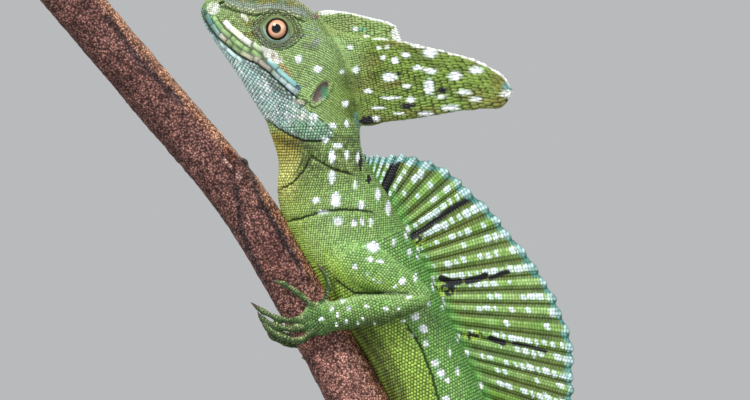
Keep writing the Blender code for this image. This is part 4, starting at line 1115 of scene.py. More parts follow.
def skin_relief(points):
    """How far the skin stands out of, or sinks into, the smooth form."""
    drop = -points[:, 2]
    out = np.zeros(len(points))
    for path, depth, width in FOLDS:
        away, signed, share = along_path(points, path)
        fade = step_down(np.abs(share - 0.5), 0.36, 0.5)
        out -= depth * np.exp(-((away / (width * 0.7)) ** 2)) * fade
        out += 0.6 * depth * np.exp(-(((np.abs(signed) - 2.2) / 1.4) ** 2)) * (away < 6) * fade
    on_head = step_down(drop, 40.0, 43.0)
    mouth, above, share = along_path(points, MOUTH)
    out -= 0.75 * np.exp(-((mouth / 0.38) ** 2)) * on_head
    out += 0.5 * np.exp(-(((above - 1.5) / 1.1) ** 2)) * (mouth < 4) * on_head
    out += 0.35 * np.exp(-(((above + 1.3) / 0.9) ** 2)) * (mouth < 4) * on_head
    brow, above_brow, _ = along_path(points, BROW)
    out += 0.8 * np.exp(-((brow / 0.8) ** 2))
    out -= 0.5 * np.exp(-(((above_brow + 1.5) / 0.7) ** 2)) * (brow < 3)
    ring = lid_radius(points)
    out += 1.15 * step_down(ring, 3.2, 7.8)
    for radius, height, width in LID_RIDGES:
        out += height * np.exp(-(((ring - radius) / width) ** 2))
    ear = ellipse(points, *EAR_CUP)
    out -= 1.1 * step_down(ear, 0.7, 1.1)
    out += 0.35 * np.exp(-(((ear - 1.35) / 0.2) ** 2))
    nostril = ellipse(points, *NOSTRIL, 1.0, 0.55, 0.2)
    out += 0.4 * step_down(nostril, 1.0, 2.6) - 1.3 * step_down(nostril, 0.5, 1.1)
    out += 1.2 * within(points, *JOWL_BULGE)
    out += 0.8 * within(points, *NAPE_BULGE)
    out -= 0.5 * within(points, *TEMPLE_HOLLOW)
    for path in ARM_CREASES:
        away, _, share = along_path(points, path)
        fade = step_down(np.abs(share - 0.5), 0.4, 0.5) * (np.abs(points[:, 1]) > 6)
        out -= 0.7 * np.exp(-((away / 0.5) ** 2)) * fade
    inward = belly_side(points)
    out += 0.9 * step_down(np.abs(inward - 5.0), 1.0, 4.5)
    return out * 0.9


def refine(mesh, reach):
    """Splits the faces of the head in four, and those around its eyes twice."""
    bm = bmesh.new()
    bm.from_mesh(mesh)
    for places in reach:
        near = []
        for edge in bm.edges:
            middle = (edge.verts[0].co + edge.verts[1].co) / 2
            if places(middle.x, -middle.z, middle.y):
                near.append(edge)
        bmesh.ops.subdivide_edges(bm, edges=near, cuts=1, use_grid_fill=True)
    bmesh.ops.triangulate(bm, faces=bm.faces)
    bm.to_mesh(mesh)
    bm.free()


def in_face(x, drop, y):
    """Whether a place lies on the head, clear of its middle plane."""
    return drop < 48 and x < 119 and abs(y) > 1.5


def near_eye(x, drop, y):
    """Whether a place lies around an eye."""
    return math.hypot(x - EYE[0], drop - EYE[1]) < 9.5 and abs(y) > 4


def make_skin():
    """The whole body as one surface, with lids, lips, folds and the openings of the head."""
    pieces = [BODY.mesh(300, 90, -SKIN_INSET), TAIL.mesh(420, 30, -SKIN_INSET * 0.8)]
    pieces += [LOBES["rear"].mesh(100, 60, 0.05), LOBES["front"].mesh(60, 48, 0.05)]
    for segments, digits in LIMBS.values():
        pieces += [tube.mesh(60, 40, -SKIN_INSET) for tube in segments.values()]
        pieces += [tube.mesh(60, 20, -0.06) for tube in digits]
    form = build_mesh("skin_form", *joined(pieces), in_working_frame=False)
    remesh = form.modifiers.new("join", "REMESH")
    remesh.mode = "VOXEL"
    remesh.voxel_size = VOXEL
    graph = bpy.context.evaluated_depsgraph_get()
    mesh = bpy.data.meshes.new_from_object(form.evaluated_get(graph))
    bpy.data.objects.remove(form)
    refine(mesh, (in_face, near_eye))
    points = read_values(mesh.vertices, "co").astype(float)
    edges = read_values(mesh.edges, "vertices", np.int32, 2)
    thin = (points[:, 0] > 119) & (-points[:, 2] < 44) & (-points[:, 2] > 0)
    points = smoothed(points, edges, np.where(thin, 0.22, 0.5), 4)
    blend = np.zeros(len(points))
    for x, drop, reach in BLENDS:
        blend = np.maximum(blend, step_down(ellipse(points, x, drop, reach, reach), 0.7, 1.2))
    points = smoothed(points, edges, 0.5 * blend, 14)
    move_points(mesh, points)
    normals = read_values(mesh.vertex_normals, "vector").astype(float)
    sideways = np.abs(normals[:, 1])
    points = points + normals * (skin_relief(points) * step_down(-sideways, -0.45, -0.15))[:, None]
    pit = step_down(lid_radius(points), 3.4, 3.6) * (np.abs(points[:, 1]) > 3)
    points[:, 1] -= np.sign(points[:, 1]) * pit * 4.2
    move_points(mesh, points)
    return mesh, points, read_values(mesh.vertex_normals, "vector").astype(float)


def gap_shade(colours, gap):
    """How dark the painted shade in the gaps between scales is: light between white scales."""
    return gap + (0.66 - gap) * step_down(-colours.min(1), -0.55, -0.3)


def finish_skin(mesh, points, normals):
    """The skin's own piece: darkened as painted shade in the gaps where scales cover it, and in full colour
    where it is bare.
    """
    full = paint(points, np.abs(normals[:, 1]))
    lids = step_down(lid_radius(points), 4.5, 4.9) * (np.abs(points[:, 1]) > 3)
    ear = step_down(ellipse(points, *EAR_CUP), 0.85, 1.0)
    gaps = mix(full * gap_shade(full, 0.3)[:, None], full, np.maximum(lids, ear * 0.8))
    mesh.name = "skin"
    mesh.polygons.foreach_set("use_smooth", np.ones(len(mesh.polygons), bool))
    move_points(mesh, to_world(points))
    set_colours(mesh, gaps)
    return add_to_scene(bpy.data.objects.new("skin", mesh))


# Coat of scales

HEX = ((0.66, 0.0), (0.33, 0.5), (-0.33, 0.5), (-0.66, 0.0), (-0.33, -0.5), (0.33, -0.5))
LONG_HEX = ((0.62, 0.0), (0.38, 0.5), (-0.38, 0.5), (-0.62, 0.0), (-0.38, -0.5), (0.38, -0.5))
PLATE = (
    (0.5, 0.3), (0.38, 0.48), (-0.38, 0.48), (-0.5, 0.3),
    (-0.5, -0.3), (-0.38, -0.48), (0.38, -0.48), (0.5, -0.3),
)
# The rings of a scale, from its foot to its top: spread, lift and shift
RINGS = ((0.95, -0.25, 0.0), (0.66, 0.8, -0.03), (0.0, 1.0, -0.08))
PLATE_RINGS = ((0.99, -0.25, 0.0), (0.84, 0.78, -0.02), (0.0, 1.0, -0.05))
RING_SHADES = (1.0, 1.38)  # of the rings over the foot, which has the painted shade of the gap; the centre is painted lighter as a highlight
PATCH = 0.0028  # size of one scale on the unwrap


class Coat:
    """Scales gathered for one piece."""

    def __init__(self, name, outline=HEX, height=0.24, uneven=0.1):
        self.name, self.outline = name, np.array(outline)
        self.height, self.uneven = height, uneven
        self.rings = RINGS
        self.seeds = []

    def add(self, points, normals, along, sizes, places, marks=None):
        """Seeds with normals, directions, sizes (along, around), places on the unwrap, and marks.

        Marks are values at the seed and their change over the seed's length and width.
        """
        if len(points):
            marks = np.zeros((len(points), 4)) if marks is None else marks
            self.seeds.append((points, normals, along, sizes, places, marks))

    def build(self, colour_of, gap=0.3, whole=True):
        """One mesh of all the scales. A whole scale has one colour, and otherwise marks run across it."""
        columns = (np.concatenate(rows) for rows in zip(*self.seeds))
        points, normals, along, sizes, places, marks = columns
        draw = np.random.default_rng(SEED + len(points))
        count, corners = len(points), len(self.outline)
        along = unit(along - normals * np.sum(along * normals, axis=1, keepdims=True))
        across = np.cross(normals, along)
        sizes = sizes * draw.uniform(1 - self.uneven, 1 + 0.6 * self.uneven, (count, 2))
        nudge = draw.uniform(-self.uneven, self.uneven, (count, 2)) * sizes * 0.8
        points = points + along * nudge[:, :1] + across * nudge[:, 1:]
        rise = self.height * np.minimum(sizes.min(1) / 0.85, 1.25) * draw.uniform(0.8, 1.15, count)
        verts, shades, spread_marks, corners_uv = [], [], [], []
        for (spread, lift, shift), shade in zip(self.rings, (gap, *RING_SHADES)):
            shape = self.outline * spread if spread else np.zeros((1, 2))
            for u, v in shape:
                offset = along * (sizes[:, :1] * (u + shift)) + across * (sizes[:, 1:] * v)
                verts.append(points + offset + normals * (rise * lift)[:, None])
                shades.append(shade)
                corners_uv.append((u, v))
                spread_marks.append(marks[:, :2] + marks[:, 2:] * (u, v))
        each = len(verts)
        verts = np.stack(verts, axis=1).reshape(-1, 3)
        i = np.arange(corners)
        j = (i + 1) % corners
        quads = np.stack([i, j, corners + j, corners + i], axis=1)
        tops = np.stack([corners + i, corners + j, np.full(corners, each - 1)], axis=1)
        starts = (np.arange(count) * each)[:, None, None]
        faces = [(quads[None] + starts).reshape(-1, 4), (tops[None] + starts).reshape(-1, 3)]
        obj = build_mesh(self.name, verts, faces)
        vary = draw.uniform(0.66, 1.2, (count, 1)) * (1 + draw.uniform(-0.05, 0.05, (count, 3)))
        facing = np.abs(normals[:, 1])
        if whole:
            tint = (colour_of(points, facing, marks) * vary)[:, None, :]
        else:
            spread_marks = np.stack(spread_marks, axis=1).reshape(-1, 2)
            tint = colour_of(verts, np.repeat(facing, each), spread_marks).reshape(count, each, 3)
            tint = tint * (0.35 + 0.65 * vary)[:, None, :]
        tint = tint.repeat(each, axis=1) if whole else tint
        shades = np.array(shades)[None, :]
        floor = np.stack([gap_shade(tint[:, k], gap) for k in range(corners)], axis=1)
        shades = np.concatenate([floor, shades[:, corners:].repeat(count, axis=0)], axis=1)
        tint = tint * shades[:, :, None]
        set_colours(obj.data, np.clip(tint.reshape(-1, 3), 0, 1))
        patch = np.array(corners_uv) * PATCH
        uv = np.clip(places[:, None, :] + patch[None], 0, 1).reshape(-1, 2)
        loops = np.concatenate([f.ravel() for f in faces])
        layer = obj.data.uv_layers.new(name="OFBake")
        layer.data.foreach_set("uv", uv[loops].astype(np.float32).ravel())
        return obj


def scale_colour(points, facing, marks):
    """The skin's own markings, which need no marks."""
    return paint(points, facing)


SNAP = (1.5, 0.75)  # how far a seed may lie from the skin, and how far inside it
HEAD_SNAP = (3.2, 3.0)
CREST_SNAP = (1.2, 0.75)


class Laid:
    """Lays seeds in staggered rows on tubes, and brings them down to the skin."""

    def __init__(self, points, normals, faces):
        self.points, self.normals, self.faces = points, normals, faces
        self.tree = BVHTree.FromPolygons(points.tolist(), faces.tolist())

    def snap(self, seeds, reach, sunk):
        """The skin's nearest points and normals, and which seeds lie close enough outside it."""
        found = np.empty_like(seeds)
        normals = np.empty_like(seeds)
        for i, seed in enumerate(seeds):
            place, _, face, _ = self.tree.find_nearest(Vector(seed))
            found[i] = place
            corners = self.faces[face]
            near = 1 / (np.linalg.norm(self.points[corners] - found[i], axis=1) + 0.05)
            normals[i] = near @ self.normals[corners]
        normals = unit(normals)
        height = np.sum((seeds - found) * normals, axis=1)
        kept = (np.linalg.norm(seeds - found, axis=1) < reach) & (height > -sunk)
        return found, normals, kept

    def rows(self, tube, pitch, start, end, strip):
        """Staggered rows of seeds, each row one pitch from the last all the way around."""
        end = tube.length if end is None else end
        runs = np.linspace(start, end, max(int((end - start) / 0.5), 8))
        angles = np.linspace(0, 2 * math.pi, 181)
        grid_run, grid_angle = (grid.ravel() for grid in np.meshgrid(runs, angles, indexing="ij"))
        lines = tube.at(grid_run, grid_angle).reshape(len(runs), len(angles), 3)
        steps = np.array([pitch(run)[0] for run in runs])
        gaps = np.linalg.norm(np.diff(lines, axis=0), axis=2) / ((steps[1:] + steps[:-1]) / 2)[:, None]
        level = np.vstack([np.zeros(len(angles)), np.cumsum(gaps, axis=0)])
        seeds, ahead, sizes, places = [], [], [], []
        count = None
        for row in range(int(level[-1].max())):
            at = np.array([np.interp(row, level[:, k], runs) for k in range(len(angles))])
            line = tube.at(at, angles)
            arc = run_along(line)
            step, width = pitch(at.mean())
            ideal = arc[-1] / width
            if count is None or abs(count - ideal) > 0.045 * ideal + 0.6:
                count = max(4, 2 * round(ideal / 2))
            where = (np.arange(count) + 0.5 * (row % 2)) / count
            angle = np.interp(where * arc[-1], arc, angles)
            run = np.interp(where * arc[-1], arc, at)
            reached = row <= np.interp(angle, angles, level[-1])
            angle, run, where = angle[reached], run[reached], where[reached]
            here = tube.at(run, angle)
            seeds.append(here)
            ahead.append(tube.at(run + 0.5, angle) - here)
            sizes.append(np.tile((step, arc[-1] / count), (len(run), 1)))
            u = 0.01 + 0.98 * (run - start) / max(end - start, 1e-6)
            v = strip[0] + (strip[1] - strip[0]) * (0.01 + 0.98 * where)
            places.append(np.stack([u, v], axis=1))
        return [np.concatenate(part) for part in (seeds, ahead, sizes, places)]

    def tip(self, start, ahead, reach, pitch, taken):
        """Seeds in a staggered grid over the tip of a tube, clear of the seeds already there."""
        side = np.array((0.0, 1.0, 0.0))
        up = np.cross(ahead, side)
        found, normals, places = [], [], []
        count = int(reach / pitch) + 1
        for i, j in itertools.product(range(-count, count + 1), repeat=2):
            u, v = i * pitch * 0.87, (j + 0.5 * (i % 2)) * pitch
            if math.hypot(u, v) > reach:
                continue
            origin = start + ahead * 8.0 + side * u + up * v
            hit, _, face, _ = self.tree.ray_cast(Vector(origin), Vector(-ahead))
            if hit is None or np.linalg.norm(taken - np.array(hit), axis=1).min() < pitch * 0.85:
                continue
            found.append(hit[:])
            normals.append(self.normals[self.faces[face]].mean(0))
            turn = math.atan2(v, u) / (2 * math.pi) % 1.0
            places.append((0.01 * math.hypot(u, v) / reach, 0.01 + 0.98 * turn))
        found, normals, places = (np.array(part) for part in (found, normals, places))
        sizes = np.full((len(found), 2), pitch)
        return found, unit(normals), np.tile(up, (len(found), 1)), sizes, places

    def coat(self, name, tubes, pitch, span=(0.0, None), where=None, height=0.22, outline=HEX, depth=SNAP):
        """A coat over the tubes, of the seeds that where allows."""
        coat = Coat(name, outline, height)
        for i, tube in enumerate(tubes):
            strip = (i / len(tubes), (i + 1) / len(tubes))
            parts = self.rows(tube, pitch, *span, strip)
            if where is not None:
                kept = where(parts[0])
                parts = [part[kept] for part in parts]
            found, normals, close = self.snap(parts[0], *depth)
            close &= ~bare(found, np.abs(normals[:, 1]))
            coat.add(found[close], normals[close], *(part[close] for part in parts[1:]))
        return coat


def head_run():
    """The run along the body at which the head ends."""
    share = len(HEAD) / (len(HEAD) + len(CORE) - 1)
    return float(np.interp(share, np.linspace(0, 1, len(BODY.run)), BODY.run))


def bare(points, facing):
    """Where no small scales grow: on the lids, in the ear and the nostril, and on the lip plates."""
    side = np.abs(points[:, 1])
    eye = (lid_radius(points) < 4.95) & (side > 3)
    ear = ellipse(points, *EAR_CUP) < 0.9
    nostril = ellipse(points, *NOSTRIL, 1.0, 0.6, 0.2) < 1
    mouth, above, share = along_path(points, MOUTH)
    tall = np.where(share < 0.62, 3.9, 3.4)
    tall = np.where((share > 0.15) & (share < 0.61), 6.2, tall)
    tall = np.where(share < 0.07, 2.2, tall)
    upper = (above > 0) & (mouth < tall) & (share < 0.98)
    lower = (above <= 0) & (mouth < np.where(share < 0.5, 1.75, 0.3)) & (share < 0.98)
    lips = (upper | lower) & (facing > 0.42) | (mouth < 0.45) & (facing > 0.2)
    crease = np.zeros(len(points), bool)
    for path, _, _ in FOLDS:
        away = along_path(points, path)[0]
        crease |= (away < 0.14) & (facing > 0.3)
    return (eye | ear | nostril | lips) & (-points[:, 2] < 42) | crease


def is_large(points):
    """Where the scales are larger: jaw, pouch of the throat and belly."""
    pouch = ellipse(points, *POUCH_OVAL) < 1.0
    return (jaw_side(points) > 0.5) | pouch | (belly_side(points) > 0.6)


def even(step, width):
    """A pitch that is the same all along."""
    return lambda run: (step, width)


def tail_pitch(run):
    """The scales of the tail grow smaller towards its end."""
    size = 1.62 - 0.66 * run / TAIL.length
    return (size, size * 0.85)


def lay_coats(laid):
    """Every coat of small scales, by part of the body."""
    head_end = head_run()
    shoulder = head_end + 44
    on_head, on_neck, on_trunk = (0.6, head_end), (head_end, shoulder), (shoulder, None)
    coats = []
    for half, side in ((-1, "left"), (1, "right")):

        def small(seeds, half=half):
            """Where this side has small scales."""
            return (seeds[:, 1] * half > 0) & ~is_large(seeds)

        segments, digits = LIMBS[side]
        arm = [segments[n] for n in ("upper_arm", "forearm", "palm")]
        leg = [segments[n] for n in ("thigh", "shin", "sole")]
        coats += [
            laid.coat(f"scales_head_{side}", [BODY], even(0.73, 0.75), on_head, small, 0.2, HEX, HEAD_SNAP),
            laid.coat(f"scales_neck_{side}", [BODY], even(0.82, 0.84), on_neck, small),
            laid.coat(f"scales_trunk_{side}", [BODY], even(1.02, 1.06), on_trunk, small),
            laid.coat(f"scales_arm_{side}", arm, even(0.94, 0.98)),
            laid.coat(f"scales_leg_{side}", leg, even(0.98, 1.04)),
            laid.coat(f"scales_digits_{side}", digits, even(0.85, 0.95), height=0.2),
        ]
    coats += [
        laid.coat("scales_jaw", [BODY], even(1.2, 0.95), on_head, is_large, 0.28, HEX, HEAD_SNAP),
        laid.coat("scales_throat", [BODY], even(0.95, 1.05), on_neck, is_large, 0.26),
        laid.coat("scales_belly", [BODY], even(1.05, 1.08), on_trunk, is_large, 0.28),
    ]
    taken = np.vstack([part[0] for coat in coats for part in coat.seeds])
    taken = taken[taken[:, 0] < 76]
    ahead = unit(BODY.middle[0] - BODY.middle[6])
    coats[0].add(*laid.tip(BODY.middle[0], ahead, 3.6, 0.72, taken))
    coats.append(laid.coat("scales_tail", [TAIL], tail_pitch, height=0.3))
    return coats


def lay_crest(laid):
    """Long plates in rows on the two lobes of the head crest."""
    coats = []
    for name, start, large in (("rear", 17.0, (2.5, 1.15)), ("front", 6.0, (1.7, 1.0))):

        def pitch(run, start=start, large=large):
            """The plates grow larger away from the head."""
            grown = np.clip((run - start) / 30.0, 0, 1)
            return (0.9 + (large[0] - 0.9) * grown, 0.75 + (large[1] - 0.75) * grown)

        lobe = [LOBES[name]]
        coat = laid.coat(f"plates_crest_{name}", lobe, pitch, (2.0, None), None, 0.2, LONG_HEX, CREST_SNAP)
        coat.rings, coat.uneven = PLATE_RINGS, 0.2
        coats.append(coat)
    return coats


LIP_ROWS = (  # distance above the mouth, height, plate length, share from and to
    (1.05, 1.85, 3.6, 0.02, 0.98),
    (2.95, 1.8, 3.2, 0.06, 0.62),
    (2.95, 1.7, 6.4, 0.63, 0.97),
    (5.2, 1.95, 4.2, 0.16, 0.60),
    (-1.0, 1.35, 3.3, 0.02, 0.50),
)


def lay_lips(laid):
    """The rows of plates along the lips."""
    coat = Coat("plates_lips", PLATE, 0.17, 0.05)
    coat.rings = PLATE_RINGS
    corners = np.array(MOUTH)
    run = run_along(corners)
    draw = np.random.default_rng(SEED)
    for side in (-1, 1):
        for above, tall, long, first, last in LIP_ROWS:
            cuts = np.arange(run[-1] * first, run[-1] * last, long)
            cuts[1:-1] += draw.uniform(-0.3, 0.3, len(cuts) - 2) * long
            at, lengths = (cuts[1:] + cuts[:-1]) / 2, np.diff(cuts)
            place = between(at, run, corners)
            ahead = between(at + 1, run, corners) - place
            ahead[-1] = corners[-1] - corners[-2]
            ahead = unit(ahead)
            place = place + np.stack([ahead[:, 1], -ahead[:, 0]], axis=1) * above
            place += draw.uniform(-0.08, 0.08, place.shape)
            found, normals, sizes, along, places = [], [], [], [], []
            for i, (x, drop) in enumerate(place):
                origin = Vector((x, side * 40.0, -drop))
                hit, normal, face, _ = laid.tree.ray_cast(origin, Vector((0, -side, 0)))
                if hit is None or abs(normal.y) < 0.35:
                    continue
                found.append(hit[:])
                normals.append(laid.normals[laid.faces[face]].mean(0))
                along.append((ahead[i][0], 0.0, -ahead[i][1]))
                sizes.append((lengths[i] * 1.02, tall * 1.02))
                places.append((0.02 + 0.96 * at[i] / run[-1], 0.5 + side * (0.2 + 0.03 * above)))
            coat.add(*(np.array(part) for part in (found, unit(np.array(normals)), along, sizes, places)))
    return coat


# Fins


class Fin:
    """A pleated fin between a root line and the tips of its rays."""

    def __init__(self, roots, tips, notch, thickness, pleat):
        self.roots, self.tips = roots, tips
        self.notch, self.thickness, self.pleat = notch, thickness, pleat
        self.lengths = np.linalg.norm(tips - roots, axis=1)
        self.places = np.arange(len(roots))
        self.last = len(roots) - 1

    def length(self, at):
        """The length of the fin at a place along its rays."""
        return np.interp(at, self.places, self.lengths)

    def point(self, at, share, side, sunk=0.0):
        """The surface at a place along the rays, a share of the ray, and a side."""
        root, tip = between(at, self.places, self.roots), between(at, self.places, self.tips)
        reach = tip - root
        length = np.linalg.norm(reach, axis=1)
        valley = np.abs(np.sin(math.pi * at))
        cut = np.minimum(self.notch, 0.3 * length) * valley**3
        inner = root - unit(reach) * 1.6
        outer = tip - unit(reach) * cut[:, None]
        half = self.thickness[0] * (1 - share) + self.thickness[1] * share
        half = half * (0.35 + 0.65 * (1 - valley**2.4))
        half = half * (1 - 0.4 * np.clip((share - 0.94) / 0.06, 0, 1)) - sunk
        point = inner + (outer - inner) * share[:, None]
        point[:, 1] += self.pleat * share * np.cos(math.pi * at) + side * np.maximum(half, 0.06)
        return point

    def grid(self, columns, rows):
        """Places along the rays, and shares of the rays, of the mesh's points on one side."""
        at = np.linspace(0, self.last, columns * self.last + 1)
        shares = np.linspace(0, 1, rows + 1) ** 0.9
        return np.meshgrid(at, shares, indexing="ij")

    def mesh(self, columns, rows):
        """Points and faces of the web: both sides and the rim."""
        grid_at, grid_share = self.grid(columns, rows)
        near = self.point(grid_at.ravel(), grid_share.ravel(), -1, 0.06)
        far = self.point(grid_at.ravel(), grid_share.ravel(), 1, 0.06)
        wide, tall = grid_at.shape
        index = np.arange(wide * tall).reshape(wide, tall)
        quads = (index[:-1, :-1], index[:-1, 1:], index[1:, 1:], index[1:, :-1])
        quads = np.stack(quads, axis=-1).reshape(-1, 4)
        rim = np.concatenate([index[:, -1], index[-1, ::-1][1:], index[::-1, 0][1:], index[0, :][1:]])
        a, b = rim[:-1], rim[1:]
        total = wide * tall
        edge = np.stack([a, b, b + total, a + total], axis=1)
        faces = np.vstack([quads, quads[:, ::-1] + total, edge[:, ::-1]])
        return np.vstack([near, far]), [faces]


def edge_reach(x, drop, lean):
    """How far it is from a root on the back to the sail's edge, along a lean."""
    ahead = np.array((math.cos(lean), -math.sin(lean)))
    reaches = []
    for one, two in zip(np.array(SAIL_EDGE), np.array(SAIL_EDGE)[1:]):
        step = two - one
        turn = ahead[0] * step[1] - ahead[1] * step[0]
        away = one - (x, drop)
        reach = (away[0] * step[1] - away[1] * step[0]) / turn
        share = (away[0] * ahead[1] - away[1] * ahead[0]) / turn
        if reach > 0 and -0.02 <= share <= 1.02:
            reaches.append(reach)
    return min(reaches)


def sail_fin():
    """The sail, with rays from the back to its edge."""
    leans = np.array(SAIL_LEAN)
    places = np.arange(SAIL_RAYS) / (SAIL_RAYS - 1)
    inner = (places > 0) & (places < 1)
    places = places + inner * 0.5 * (hashed(12, np.arange(SAIL_RAYS)) - 0.5) / SAIL_RAYS
    shares = leans[0, 0] + (leans[-1, 0] - leans[0, 0]) * places
    back = catmull(CORE, shares)
    lean = np.radians(np.interp(shares, leans[:, 0], leans[:, 1]))
    length = np.array([edge_reach(row[0], row[1], angle) for row, angle in zip(back, lean)]) - 0.25
    length -= 0.9 * hashed(11, np.arange(SAIL_RAYS)) * (np.arange(SAIL_RAYS) % 3 > 0)
    roots = np.stack([back[:, 0], np.zeros(SAIL_RAYS), -back[:, 1]], axis=1)
    tips = roots + np.stack([np.cos(lean), np.zeros(SAIL_RAYS), np.sin(lean)], axis=1) * length[:, None]
    return Fin(roots, tips, 1.0, (1.25, 0.6), 0.22)


def tail_fin():
    """The fin along the first third of the tail."""
    shares = np.linspace(TAIL_FIN[0][0], TAIL_FIN[-1][0], TAIL_FIN_RAYS)
    middle, depth, _, _, _ = TAIL.parts(shares * TAIL.length)
    ahead = TAIL.parts(shares * TAIL.length + 0.5)[0] - middle
    length = np.interp(shares, [s[0] for s in TAIL_FIN], [s[1] for s in TAIL_FIN]) - 0.2
    roots = middle + depth
    reach = unit(unit(depth) + unit(ahead) * 0.45)
    return Fin(roots, roots + reach * length[:, None], 0.8, (0.9, 0.45), 0.15)


SAIL = sail_fin()
TAIL_SAIL = tail_fin()
RIDGE_PALE = tone(166, 208, 128)
RIDGE_GREEN = tone(112, 164, 58)
VALLEY = tone(52, 76, 18)
ROOT_GREEN = tone(104, 164, 78)
SAIL_RIM = tone(186, 218, 220)
SAIL_TEAL = tone(62, 128, 116)
DASH = tone(222, 240, 244)
SAIL_MARKS = (  # black marks: path, half width
    (((131.5, 51.5), (129.0, 57.5), (125.6, 65.5)), 1.5),
    (((136.0, 78.5), (143.5, 73.0), (150.0, 68.3), (156.8, 64.4)), 0.95),
    (((145.5, 91.6), (149.0, 93.2), (151.8, 92.9)), 1.0),
    (((154.2, 92.9), (157.5, 92.0), (160.2, 90.8)), 1.1),
    (((161.8, 91.8), (164.5, 90.6), (167.6, 89.6)), 0.8),
    (((161.8, 111.5), (164.0, 112.4), (166.2, 113.2)), 0.9),
    (((169.3, 113.2), (174.5, 114.2), (180.0, 116.0)), 0.55),
)
SAIL_BASES = (  # black and yellow mottles at the roots of the rays: x, drop, half width, half height
    (137.6, 78.8, 2.8, 3.0), (147.0, 95.4, 3.6, 2.8), (156.0, 110.6, 3.4, 1.8), (126.8, 63.8, 1.5, 2.8),
)


def ray_dashes(at, reach, share, seed, cell_length=2.6, always=False):
    """Short pale marks in chains along the rays: 1 on a mark, 0 off it."""
    ray = np.round(at)
    level = (reach + 7.0 * hashed(seed, ray)) / cell_length
    cell = np.floor(level)
    chance = np.where(hashed(seed + 1, ray) > 0.4, 0.85, 0.42) * (0.4 + 0.75 * share) * (share > 0.1)
    shown = (hashed(seed + 2, ray, cell) < chance) | always & (hashed(seed + 8, ray, cell) < 0.92)
    half_long = 0.2 + 0.38 * hashed(seed + 3, ray, cell)
    half_wide = 0.17 + 0.12 * hashed(seed + 4, ray, cell)
    slip = 0.16 * (hashed(seed + 5, ray, cell) - 0.5)
    radius = np.hypot((level - cell - 0.5) / half_long, (at - ray - slip) / half_wide)
    return step_down(radius, 0.85, 1.1) * shown


def ridged(points, at, reach, seed):
    """Pale ridges and valleys darkened as painted shade, each ray with a tone of its own."""
    ray = np.round(at)
    ridge = 1 - np.abs(np.sin(math.pi * at)) ** 2.4
    own = 0.25 + 0.6 * hashed(seed + 6, ray)
    streak = value_noise(np.stack([ray * 5.3, reach * 0.28, points[:, 1] * 0], axis=1), 1.0, seed + 7)
    top = mix(RIDGE_GREEN, RIDGE_PALE, np.clip(own + 0.7 * (streak - 0.5), 0, 1))
    # the valleys between the rays are painted dark as shade
    return mix(VALLEY, top, ridge**1.1)


def sail_paint(points, facing, marks, seed=20):
    """Ridged green membrane with chains of pale dashes, black marks and a turquoise edge."""
    share, at = marks[:, 0], marks[:, 1]
    reach = share * SAIL.length(at)
    from_tip = (1 - share) * SAIL.length(at)
    colour = ridged(points, at, reach, seed)
    colour = mix(colour, OLIVE, 0.3 * value_noise(points, 9.0, seed))
    colour = mix(colour, VALLEY, step_down(points[:, 2], -118.0, -98.0) * 0.16)
    colour = mix(colour, ROOT_GREEN, step_down(reach, 1.5, 6.0) * 0.92)
    beside = np.zeros(len(points), bool)
    for path, half in SAIL_MARKS:
        away, _, along = along_path(points, path)
        beside |= (away > half + 0.2) & (away < half + 3.2) & (along > 0.02) & (along < 0.98)
    colour = mix(colour, DASH, ray_dashes(at, reach, share, seed, 2.6, beside) * 0.95)
    mottle = np.zeros(len(points))
    for x, drop, half_x, half_drop in SAIL_BASES:
        mottle = np.maximum(mottle, step_down(ellipse(points, x, drop, half_x, half_drop), 0.8, 1.1))
    dark = value_noise(points, 0.9, seed + 4) > 0.5
    colour = mix(colour, BLACK, mottle * dark * 0.95)
    colour = mix(colour, YELLOW_GREEN, mottle * ~dark * 0.7)
    ragged = 0.85 + 0.35 * value_noise(points, 1.5, seed + 8)
    for path, half in SAIL_MARKS:
        away = along_path(points, path)[0]
        colour = mix(colour, BLACK, step_down(away, half * ragged - 0.1, half * ragged + 0.1))
    radius = spot_radius(points, np.ones(len(points)), SPOTS, 5)
    colour = mix(colour, WHITE, step_down(radius, 0.9, 1.1) * (reach < 6) * 0.95)
    patch = value_noise(points, 1.3, seed + 5)
    valley = np.abs(np.sin(math.pi * at)) ** 3
    edge = mix(SAIL_RIM, SAIL_TEAL, np.clip(1.2 * valley + (patch < 0.36) * 0.5, 0, 1))
    width = 0.9 + 2.6 * value_noise(points, 2.4, seed + 9) * (1 - 0.6 * valley)
    return mix(colour, edge, step_down(from_tip, width, width + 0.7) * 0.95)


def tail_fin_paint(points, facing, marks, seed=40):
    """The same membrane with brown bands."""
    share, at = marks[:, 0], marks[:, 1]
    length = TAIL_SAIL.length(at)
    colour = ridged(points, at, share * length, seed)
    bands = step_down(-np.sin(at * 1.05), -0.95, -0.7)
    colour = mix(colour, CREST_BROWN, 0.5 * bands)
    colour = mix(colour, DASH, ray_dashes(at, share * length, share * 0.7, seed, 2.2) * 0.9)
    return mix(colour, SAIL_RIM, step_down((1 - share) * length, 0.8, 1.6) * 0.75)


